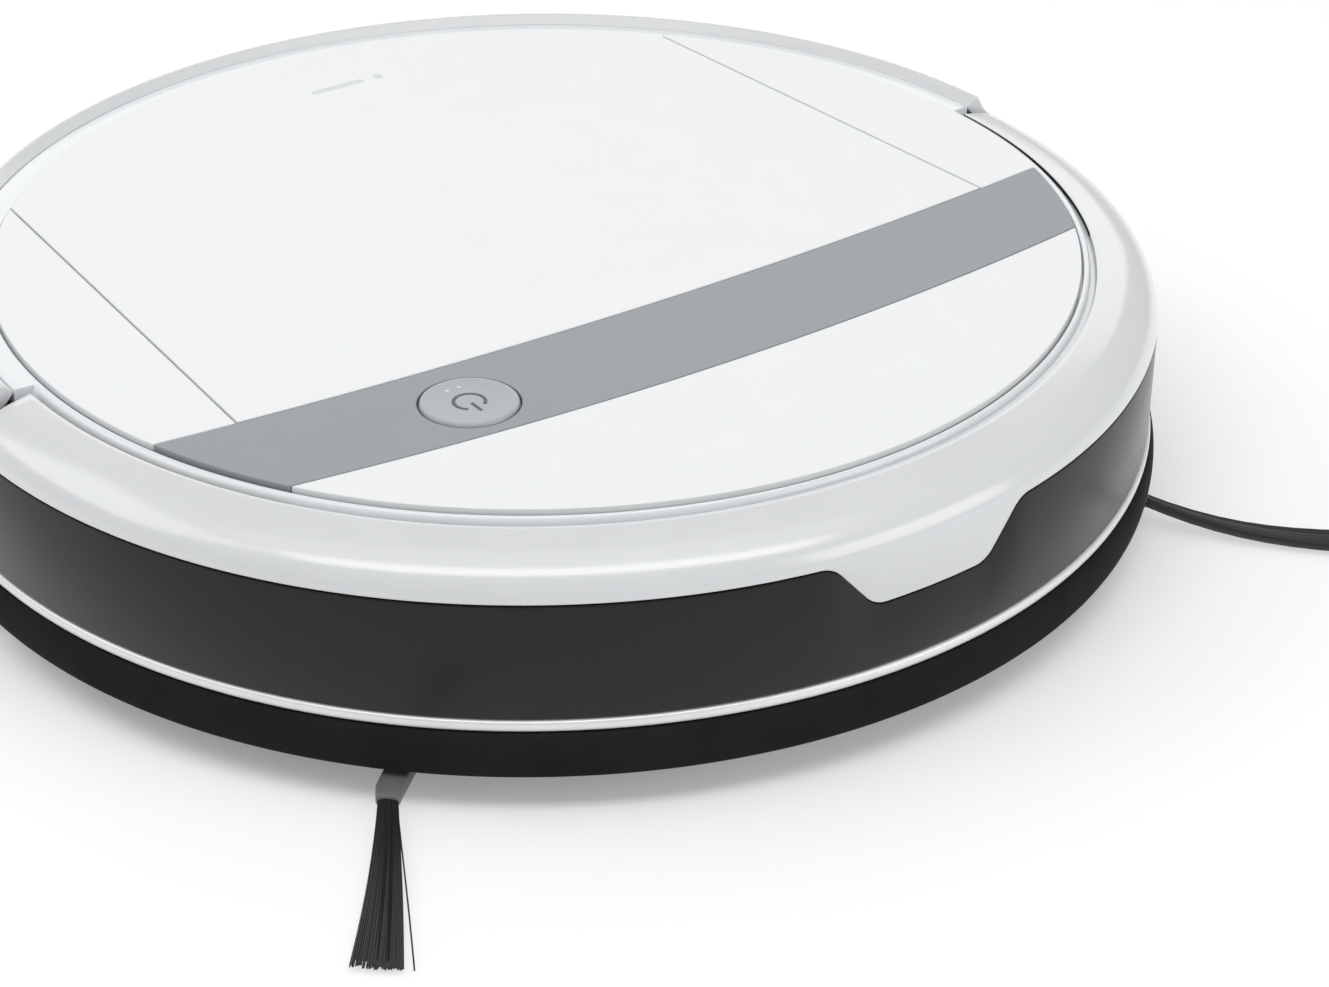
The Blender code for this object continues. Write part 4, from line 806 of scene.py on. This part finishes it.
def brush_line(centre, azimuth, start, end, brush):
    """Line of a bristle: start and end give (sideways, height), and the brush's lean bends it."""
    lean, root = BRUSH_LEAN[brush], CLIP_END[brush] - 1.5
    middle, outward, across = arm_axes(centre, azimuth)
    line = []
    for t in spread(0.0, 1.0, BRISTLE_STEPS):
        reach = root + (BRISTLE_END - root) * t
        side = start[0] + (end[0] - start[0]) * t ** 1.1
        side += lean[0] + lean[1] * t + lean[2] * sin(pi * t)
        height = end[1] + (start[1] - end[1]) * (1.0 - t) ** 3
        line.append(middle + outward * reach + across * side + Vector((0.0, 0.0, height)))
    return line


def tuft_core(bm, centre, azimuth, brush):
    """Solid heart of a tuft, a flat fan that the outer bristles cover."""
    rows = []
    edges = [brush_line(centre, azimuth, (s * 2.1, 6.6), (s * 5.5, 1.6), brush) for s in (-1, 1)]
    for i, (one, other) in enumerate(zip(*edges)):
        thick = 0.95 - 0.07 * i
        middle = (one + other) / 2
        rows.append([middle + (other - one) / 2 * c + Vector((0.0, 0.0, thick * s))
                     for c, s in unit_circle(12)])
    shift = rows[-2][0].lerp(rows[-1][0], 0.6) - rows[-1][0]
    rows[-1] = [point + shift for point in rows[-1]]
    skin(bm, rows)


def add_clip(bm, centre, azimuth, brush):
    """Moulded arm from the hub to the root of a tuft: (reach, half width, low, high) each step."""
    middle, outward, across = arm_axes(centre, azimuth)
    rows, clip_end = [], CLIP_END[brush]
    for reach, half, low, high in ((6.0, 3.4, 5.3, 9.0), (10.0, 3.5, 5.2, 9.0),
            (clip_end - 4.0, 3.3, 4.7, 8.5),
            (clip_end - 0.7, 2.9, 4.8, 8.1), (clip_end, 2.5, 5.1, 7.8)):
        shift = BRUSH_LEAN[brush][0] * min(1.0, reach / 22.0)
        rows.append([middle + outward * reach + across * (p.x + shift) + Vector((0.0, 0.0, p.y))
                     for p in soften(rectangle(-half, low, half, high), 0.8, 3)])
    skin(bm, rows)


def add_bristles(bm, centre, azimuth, brush, chance, stray_reach):
    """Bristles of one tuft round its core, and a stray one beside it."""
    for _ in range(150):
        u = chance.uniform(-1.0, 1.0)
        w = chance.uniform(-1.0, 1.0) * sqrt(1.0 - 0.8 * u * u)
        root, tip = (u * 2.2, 6.5 + w), (u * 6.0 + chance.uniform(-0.25, 0.25), 1.6 + w * 0.55)
        line = brush_line(centre, azimuth, root, tip, brush)
        line[-1] = line[-1].lerp(line[-2], chance.uniform(0.0, 0.16))
        tube(bm, line, [0.27 - 0.012 * k for k in range(len(line))], 4)
    stray = brush_line(centre, azimuth, (-2.0, 6.2), (stray_reach, 1.5), brush)
    tube(bm, stray, [0.2] * len(stray), 4)


def make_side_brush(name, side):
    body = f"sweeper_{name}"
    centre = (side * SIDE_BRUSH[0], SIDE_BRUSH[1])
    hub = [(0.0, 4.6), (2.6, 4.6), (2.9, 4.0), (7.6, 4.0), (9.4, 4.5), (10.6, 5.6), (11.0, 7.0),
           (11.0, 9.2), (10.6, 9.6), (4.0, 9.6), (4.0, 23.8), (0.0, 23.8)]
    piece = turned(f"side_brush_{name}_hub", hub, (*centre, 0.0))
    place(piece, "dark", body, f"side_brush_{name}")
    seed, stray_reach = (11, -4.0) if side > 0 else (7, -8.6)
    chance = random.Random(seed)
    bristles, clips = bmesh.new(), bmesh.new()
    for i in range(3):
        azimuth = side * SIDE_BRUSH_AZIMUTH + 120.0 * i
        add_clip(clips, centre, azimuth, name)
        tuft_core(bristles, centre, azimuth, name)
        add_bristles(bristles, centre, azimuth, name, chance, stray_reach)
    clips = place(make(f"side_brush_{name}_clips", clips), "clip", body)
    bristles = place(make(f"side_brush_{name}_bristles", bristles, 60.0), "bristle", body)
    for part in (clips, bristles):
        part.visible_glossy = part.visible_shadow = False
    screw(f"side_brush_{name}_screw", (*centre, 4.5), 2.3, body)


# ---- Screws ----
SCREW_MESH = {}


def screw(name, point, radius, body):
    """Cross-head screw that faces down. Screws of one size are copies of one mesh."""
    if radius not in SCREW_MESH:
        dome = [(0.0, -0.9), (radius * 0.5, -0.85), (radius * 0.85, -0.55), (radius, -0.05),
                (radius, 0.4), (0.0, 0.4)]
        head = turned("screw_head", dome, steps=28)
        reach, half = radius * 0.62, radius * 0.14
        carve(head, block("slot_x", (-reach, -half, -2.0), (reach, half, -0.35)),
              block("slot_y", (-half, -reach, -2.0), (half, reach, -0.35)))
        SCREW_MESH[radius] = head.data
        bpy.data.objects.remove(head, do_unlink=True)
    obj = link(name, SCREW_MESH[radius].copy())
    obj.location = Vector(point) * MM
    place(obj, "steel", body)


# ---- Wheels and caster ----
LUGS, LUG_HEIGHT, CHEVRON = 26, 1.2, 0.017
LUG_SHAPE = (0.0, 0.0, 0.6, 1.0, 1.0, 0.6)
TREAD = [(9.0, 26.3, 0.0), (9.0, 28.6, 0.0), (8.6, 29.4, 0.6), (7.6, 29.8, 1.0),
         (4.0, 29.8, 1.0), (0.4, 29.8, 1.0)]


def make_wheel(name, side):
    """Tyre with chevron lugs, and a spoked hub with its cap."""
    body = f"drive_wheel_{name}"
    rows = []
    section = [(-x, radius, share) for x, radius, share in TREAD] + TREAD[::-1]
    for i in range(LUGS * len(LUG_SHAPE)):
        angle = tau * i / (LUGS * len(LUG_SHAPE))
        ring = []
        for x, radius, share in section:
            turn = angle + CHEVRON * (TYRE_HALF - abs(x))
            reach = radius + LUG_HEIGHT * share * LUG_SHAPE[i % len(LUG_SHAPE)]
            ring.append((side * WHEEL_X + x, WHEEL_Y + reach * cos(turn),
                         WHEEL_Z + reach * sin(turn)))
        rows.append(ring)
    place(solid(f"wheel_tyre_{name}_fine", rows, closed=True), "tyre", body,
          f"wheel_tyre_{name}")
    face, stub = side * TYRE_HALF, side * -18.0
    centre = Vector((side * WHEEL_X, WHEEL_Y, WHEEL_Z))
    hub = [(0.0, stub), (4.0, stub), (4.0, -face), (26.0, -face), (26.0, face), (24.4, face),
           (23.4, face - side * 0.8), (22.6, face - side * 4.0), (8.2, face - side * 4.0),
           (7.2, face - side * 1.2), (6.4, face - side * 0.4), (0.0, face - side * 0.4)]
    wheel = turned(f"wheel_hub_{name}_fine", hub, centre, axis="X", steps=56)
    place(wheel, "grey", body, f"wheel_hub_{name}")
    spokes = bmesh.new()
    for c, s in unit_circle(6):
        along, over = Vector((0.0, c, s)), Vector((0.0, -s, c))
        skin(spokes, [[centre + along * reach + over * u + Vector((x, 0.0, 0.0))
                       for u, x in ((-1.3, face - side * 4.4), (1.3, face - side * 4.4),
                                    (1.0, face - side * 1.2), (-1.0, face - side * 1.2))]
                      for reach in (6.6, 23.2)])
    place(make(f"wheel_spokes_{name}", spokes), "grey", body)


def make_spring(name, side):
    """Round-wire coil in place of the CAD spring."""
    bm = bmesh.new()
    turns, per, coil, wire = 5, 20, 5.0, 0.55
    foot, length = 47.2, 18.2
    line = []
    for i in range(turns * per + 1):
        rise = 0.04 + 0.92 * (i / (turns * per))
        angle = tau * i / per
        line.append(Vector((side * SPRING_X + coil * cos(angle), SPRING_Y + coil * sin(angle),
                foot + length * rise)))
    tube(bm, line, [wire] * len(line), 8)
    spring = make(f"suspension_spring_{name}_fine", bm)
    spring.data.materials.append(M["steel"])
    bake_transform(spring)
    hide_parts(f"suspension_spring_{name}")


def make_caster():
    axle_y = CASTER_Y + CASTER_TRAIL
    cup = [(0.0, 9.2), (14.6, 9.2), (16.6, 10.2), (17.8, 12.0), (18.0, 13.4), (18.0, 29.2),
           (17.7, 29.5), (4.0, 29.5), (4.0, 36.0), (0.0, 36.0)]
    fork = turned("caster_fork_fine", cup, (0.0, CASTER_Y, 0.0), steps=64)
    carve(fork, block("caster_slot", (-7.6, axle_y - 11.8, 5.0), (7.6, axle_y + 13.0, 23.5), 1.5),
          rod("caster_axle", (-10.8, axle_y, CASTER_WHEEL_Z), (10.8, axle_y, CASTER_WHEEL_Z), 2.2))
    place(fork, "dark", "caster", "caster_fork")
    half = [(0.0, 10.3), (2.0, 10.3), (2.0, 7.0), (8.8, 7.0), (10.2, 6.5), (10.9, 5.4),
            (11.0, 4.6), (11.0, 1.6), (10.4, 1.2)]
    profile = [(radius, -x) for radius, x in half] + half[::-1]
    wheel = turned("caster_wheel_fine", profile, (0.0, axle_y, CASTER_WHEEL_Z), axis="X")
    place(wheel, "tyre", "caster_roller", "caster_wheel")
    faces = bmesh.new()
    for x in (-7.05, 7.05):
        rows = [[(x, axle_y + radius * c, CASTER_WHEEL_Z + radius * s)
                 for c, s in unit_circle(32)] for radius in (3.2, 8.0)]
        out = copysign(0.25, x)
        rows += [[(px + out, py, pz) for px, py, pz in row] for row in reversed(rows)]
        skin(faces, rows, closed=True)
    place(make("caster_wheel_faces", faces), "mid", "caster_roller")


# ---- Roller ----
def make_roller():
    """Core with three rubber blades and three rows of bristles, in a shallow V."""
    core = [(0.0, -83.0), (3.0, -83.0), (3.0, -76.0), (8.4, -76.0), (9.0, -75.4), (9.0, 75.4),
            (8.4, 76.0), (3.0, 76.0), (3.0, 92.0), (0.0, 92.0)]
    piece = turned("main_brush_core", core, (0.0, BRUSH_Y, BRUSH_Z), axis="X", steps=36)
    place(piece, "grey", "roller", "main_brush")
    chance = random.Random(3)
    blades, bristles = bmesh.new(), bmesh.new()

    def spot(x, radius, row, lag=0.0):
        angle = radians(60.0 * row + 60.0 * abs(x) / 76.0) + lag
        return Vector((x, BRUSH_Y + radius * cos(angle), BRUSH_Z + radius * sin(angle)))

    blade = ((8.6, -0.09), (16.4, -0.03), (16.7, 0.0), (16.4, 0.03), (8.6, 0.09))
    for row in (0, 2, 4):
        skin(blades, [[spot(x, radius, row, lag) for radius, lag in blade]
                      for x in spread(-75.0, 75.0, 60)])
    for row in (1, 3, 5):
        for x in spread(-74.0, 74.0, 49):
            for _ in range(9):
                foot = x + chance.uniform(-0.9, 0.9)
                lag = chance.uniform(-0.09, 0.09)
                tip = foot + chance.uniform(-1.3, 1.3)
                line = [spot(foot, 8.7, row, lag), spot((foot + tip) / 2, 13.0, row, lag),
                        spot(max(-76.0, min(76.0, tip)), 16.6, row, lag * 1.5)]
                tube(bristles, line, [0.16, 0.15, 0.1], 3)
    place(make("main_brush_blades", blades), "blade", "roller")
    place(make("main_brush_bristles", bristles, 60.0), "bristle", "roller")


# ---- Underside ----
def make_tray_details():
    """Rim of the tray, bosses with screws, and ribs under the bin."""
    rim = [(154.6, 9.92), (156.9, 9.92), (157.9, 10.2), (161.1, 12.9), (161.2, 13.6),
           (161.2, 39.9), (160.2, 39.9), (160.2, 14.0), (154.6, 10.9)]
    ring = sweep("tray_rim", lambda _azimuth: rim, spread(0.0, 360.0, 180)[:-1], closed=True)
    carve(ring, socket_hole(), *exhaust_windows())
    place(ring, "tray", "chassis")
    places = [polar(148.0, a) for a in (26, -26, 88, -88, 118, -118, 156, -156)]
    places += [Vector((side * x, y, 0.0)) for side in SIDES.values()
               for x, y in ((70.0, -104.0), (88.0, 76.0), (30.0, 98.0))]
    bosses = bmesh.new()
    for i, point in enumerate(places):
        screw(f"tray_screw_{i}", (point.x, point.y, TRAY_BOTTOM + 0.35), 2.4, "chassis")
        skin(bosses, [[(point.x + radius * c, point.y + radius * s, z)
                       for c, s in unit_circle(28)]
                      for radius, z in ((3.0, 10.2), (3.0, 9.55), (3.3, 9.35), (4.1, 9.35),
                                        (4.5, 9.6), (4.9, PAD_FOOT))], closed=True)
    place(make("tray_bosses", bosses), "tray", "chassis")
    ribs = [(side * 20.0, y, side * 62.0, y + 2.4) for side in SIDES.values()
            for y in (68.0, 75.0, 82.0, 89.0, 96.0)]
    pads("tray_ribs", ribs, 1.1, (PAD_FOOT, 9.7, 9.55), 0.3, "tray")


def make_underside_fittings():
    """Collars of the side brushes, skids, sensor lenses, and the two covers' grips."""
    for name, side in SIDES.items():
        ring = [(11.4, PAD_FOOT), (11.4, 9.3), (12.0, 9.0), (14.4, 9.0), (15.4, 9.5),
                (15.8, PAD_FOOT)]
        centre = (side * SIDE_BRUSH[0], SIDE_BRUSH[1], 0.0)
        place(turned(f"side_brush_collar_{name}", ring, centre, steps=56), "dark", "chassis")
        pads(f"skid_{name}", [(side * 100.0, -70.0, side * 128.0, -66.0)], 1.9,
             (PAD_FOOT, 8.9, 8.5), 0.6, "skirt", steps=5)
    for name in ("left", "centre", "right"):
        low, high = node_box(f"cliff_sensor_{name}")
        for i, share in enumerate((0.27, 0.73)):
            spot = (low.x + (high.x - low.x) * share, (low.y + high.y) / 2, 0.0)
            dome = [(0.0, 9.55), (1.2, 9.62), (1.9, 9.85), (1.9, 10.4), (0.0, 10.4)]
            place(turned(f"cliff_lens_{name}_{i}", dome, spot, steps=28), "lens", "chassis")
    grips = [(x - 0.8, -96.0, x + 0.8, -89.0) for x in spread(-12.0, 12.0, 6)]
    pads("battery_door_grips", grips, 0.7, (PAD_FOOT, 9.65, 9.5), 0.25, "dark")
    for name, side in SIDES.items():
        screw(f"battery_door_screw_{name}", (side * 48.0, -81.5, 10.2), 2.1, "chassis")
    latches = [(side * 79.6, -46.0, side * 83.6, -34.0) for side in SIDES.values()]
    pads("guard_latches", latches, 1.0, (9.8, 9.1, 8.9), 0.4, "mid")


# ---- Dust bin ----
LUG_X, BAIL_Y, BAIL_Z = 27.5, 42.0, 64.4


def make_bin():
    """Cover with ribs and the handle's lugs, and the framed, pleated filter."""
    low, high = node_box("bin_cover")
    cover = block("bin_cover_fine", (low.x, low.y, low.z), (high.x, high.y, 62.0), 3.0)
    lugs = [block(f"lug_{name}", (side * LUG_X - 2.5, BAIL_Y - 2.2, 61.0),
                  (side * LUG_X + 2.5, BAIL_Y + 2.2, 66.4), 0.8) for name, side in SIDES.items()]
    carve(cover, *lugs, operation="UNION")
    carve(cover, *[rod(f"lug_bore_{name}", (side * 22.0, BAIL_Y, BAIL_Z),
            (side * 34.0, BAIL_Y, BAIL_Z), 1.2, 20) for name, side in SIDES.items()])
    place(bevel(cover, 0.35), "mid", "bin", "bin_cover")
    ribs = [(-58.0, y, 58.0, y + 1.6) for y in (8.0, 13.0, 18.0, 23.0)]
    pads("bin_cover_ribs", ribs, 0.7, (61.8, 62.3, 62.45), 0.25, "mid", "bin")
    low, high = node_box("bin_filter")
    border = block("bin_filter_frame", tuple(low), tuple(high), 1.2)
    carve(border, block("filter_hole", (low.x + 3.0, low.y - 2.0, low.z + 3.0),
            (high.x - 3.0, high.y + 2.0, high.z - 3.0)))
    place(bevel(border, 0.3), "mid", "bin", "bin_filter")
    folds = 44
    zigzag = [(low.x + 2.6 + (high.x - low.x - 5.2) * i / folds,
               high.y - (1.2 if i % 2 else 6.0)) for i in range(folds + 1)]
    pleats = prism("bin_filter_pleats", zigzag + [(x, y - 0.6) for x, y in reversed(zigzag)],
                   low.z + 2.6, high.z - 2.6)
    place(pleats, "filter", "bin")


# ---- CAD nodes that stay ----
KEPT = {
    "base_tray": ("tray", 0.0), "charging_socket": ("dark", 0.25), "button_switch": ("dark", 0.2),
    "brush_housing": ("dark", 0.0), "brush_guard": ("grey", 0.0), "brush_motor": ("can", 0.5),
    "drive_belt": ("tyre", 0.15), "fan_housing": ("dark", 0.3), "main_board": ("board", 0.1),
    "battery_pack": ("sleeve", 0.0), "battery_door": ("dark", 0.0),
    "cliff_sensor_centre": ("lens", 0.0), "dust_bin": ("smoked", 0.0),
    "bin_handle": ("dark", 0.7), "power_switch": ("red", 0.3), "brush_pulley": ("nylon", 0.2),
    "motor_pulley": ("nylon", 0.2), "fan_impeller": ("nylon", 0.2),
}
KEPT_PAIRS = {
    "lid_hinge_pin": ("steel", 0.15), "suspension_pin": ("steel", 0.3),
    "side_brush_motor": ("can", 0.5), "cliff_sensor": ("lens", 0.0),
    "charging_contact": ("nickel", 0.0), "bumper_switch": ("grey", 0.2),
    "suspension_arm": ("dark", 0.8),
}


def dress_kept_nodes():
    """Give each node a finish and, where it shows, the width of its bevel."""
    pairs = {f"{node}_{name}": look for node, look in KEPT_PAIRS.items() for name in SIDES}
    for name, (finish, width) in (KEPT | pairs).items():
        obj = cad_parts[name]
        obj.data.materials.clear()
        obj.data.materials.append(M[finish])
        if width:
            bevel(obj, width, 2)


# ---- Camera, light and floor ----
CAMERA_AZIMUTH, CAMERA_ELEVATION, CAMERA_DISTANCE = -33.25, 29.13, 895.0
CAMERA_PAN, CAMERA_TILT, CAMERA_ROLL, CAMERA_LENS = -2.20, -1.19, 0.84, 86.2
AIM_HEIGHT = 0.04               # metres above the floor, where the lights point
SKY_COLOR, SKY_STRENGTH = (0.975, 0.988, 1.0, 1.0), 0.5
FLOOR_HALF = 3000.0
FLOOR_GLOW, FLOOR_GLOW_STRENGTH = (0.97, 0.985, 1.0, 1.0), 0.23


def turn_about(axis, angle, *vectors):
    rotation = Matrix.Rotation(radians(angle), 3, axis)
    return [rotation @ vector for vector in vectors]


def make_camera():
    """Camera on a circle about the robot, then panned, tilted and rolled off its centre."""
    elevation = radians(CAMERA_ELEVATION)
    place_at = Vector((0.0, -cos(elevation), sin(elevation))) * CAMERA_DISTANCE
    forward = -place_at.normalized()
    right = Vector((1.0, 0.0, 0.0))
    up = right.cross(forward)
    forward, right = turn_about(up, CAMERA_PAN, forward, right)
    forward, up = turn_about(right, CAMERA_TILT, forward, up)
    right, up = turn_about(forward, CAMERA_ROLL, right, up)
    *axes, spot = turn_about("Z", CAMERA_AZIMUTH, right, up, -forward, place_at)
    axes = Matrix(axes).transposed().to_4x4()
    spot = (spot + Vector((0.0, 0.0, TRAY_BOTTOM))) * MM
    data = bpy.data.cameras.new("camera")
    data.lens = CAMERA_LENS
    data.sensor_width = 36.0
    data.sensor_fit = "HORIZONTAL"
    data.clip_start, data.clip_end = 0.01, 50.0
    camera = link("camera", data)
    camera.matrix_world = Matrix.Translation(spot) @ axes
    bpy.context.scene.camera = camera


def softbox(name, azimuth, elevation, distance, size, power):
    """Soft area light aimed at the object, its distance and size in metres."""
    data = bpy.data.lights.new(name, "AREA")
    data.shape = "RECTANGLE"
    data.size, data.size_y = size
    data.energy = power
    light = link(name, data)
    up = radians(elevation)
    light.location = polar(distance * cos(up), azimuth, distance * sin(up))
    aim = Vector((0.0, 0.0, AIM_HEIGHT)) - light.location
    light.rotation_euler = aim.to_track_quat("-Z", "Y").to_euler()


def make_studio():
    scene = bpy.context.scene
    scene.view_settings.view_transform = "Standard"
    scene.view_settings.look = "None"
    world = bpy.data.worlds.new("studio")
    world.use_nodes = True
    background = world.node_tree.nodes["Background"]
    background.inputs["Color"].default_value = SKY_COLOR
    background.inputs["Strength"].default_value = SKY_STRENGTH
    scene.world = world
    softbox("top_bank", -30.0, 68.0, 1.7, (2.1, 0.5), 12.0)
    softbox("overhead", -30.0, 88.0, 1.8, (2.1, 0.7), 3.0)
    softbox("back_bank", 147.0, 25.0, 2.0, (2.4, 0.8), 6.0)
    softbox("left_key", -125.0, 40.0, 1.7, (1.3, 0.9), 6.0)
    softbox("right_key", 30.0, 20.0, 1.9, (1.3, 0.7), 6.5)
    bm = bmesh.new()
    bmesh.ops.create_grid(bm, x_segments=8, y_segments=8, size=FLOOR_HALF)
    floor = make("studio_floor", bm)
    paper = material("floor_paper", (0.755, 0.758, 0.76), 0.7, mottle=0.002,
            grain=(300.0, 1e-6), specular=0.3)
    shader = paper.node_tree.nodes["Principled BSDF"]
    shader.inputs["Emission Color"].default_value = FLOOR_GLOW
    shader.inputs["Emission Strength"].default_value = FLOOR_GLOW_STRENGTH
    floor.data.materials.append(paper)


make_camera()
make_studio()
make_bumper()
make_rear()
make_top_frame()
make_gap_shade_strips()
make_panels()
make_strip()
make_lid()
make_lid_mark()
make_button()
for side_name, side_sign in SIDES.items():
    make_side_brush(side_name, side_sign)
    make_wheel(side_name, side_sign)
    make_spring(side_name, side_sign)
make_caster()
make_roller()
make_tray_details()
make_underside_fittings()
make_bin()
dress_kept_nodes()
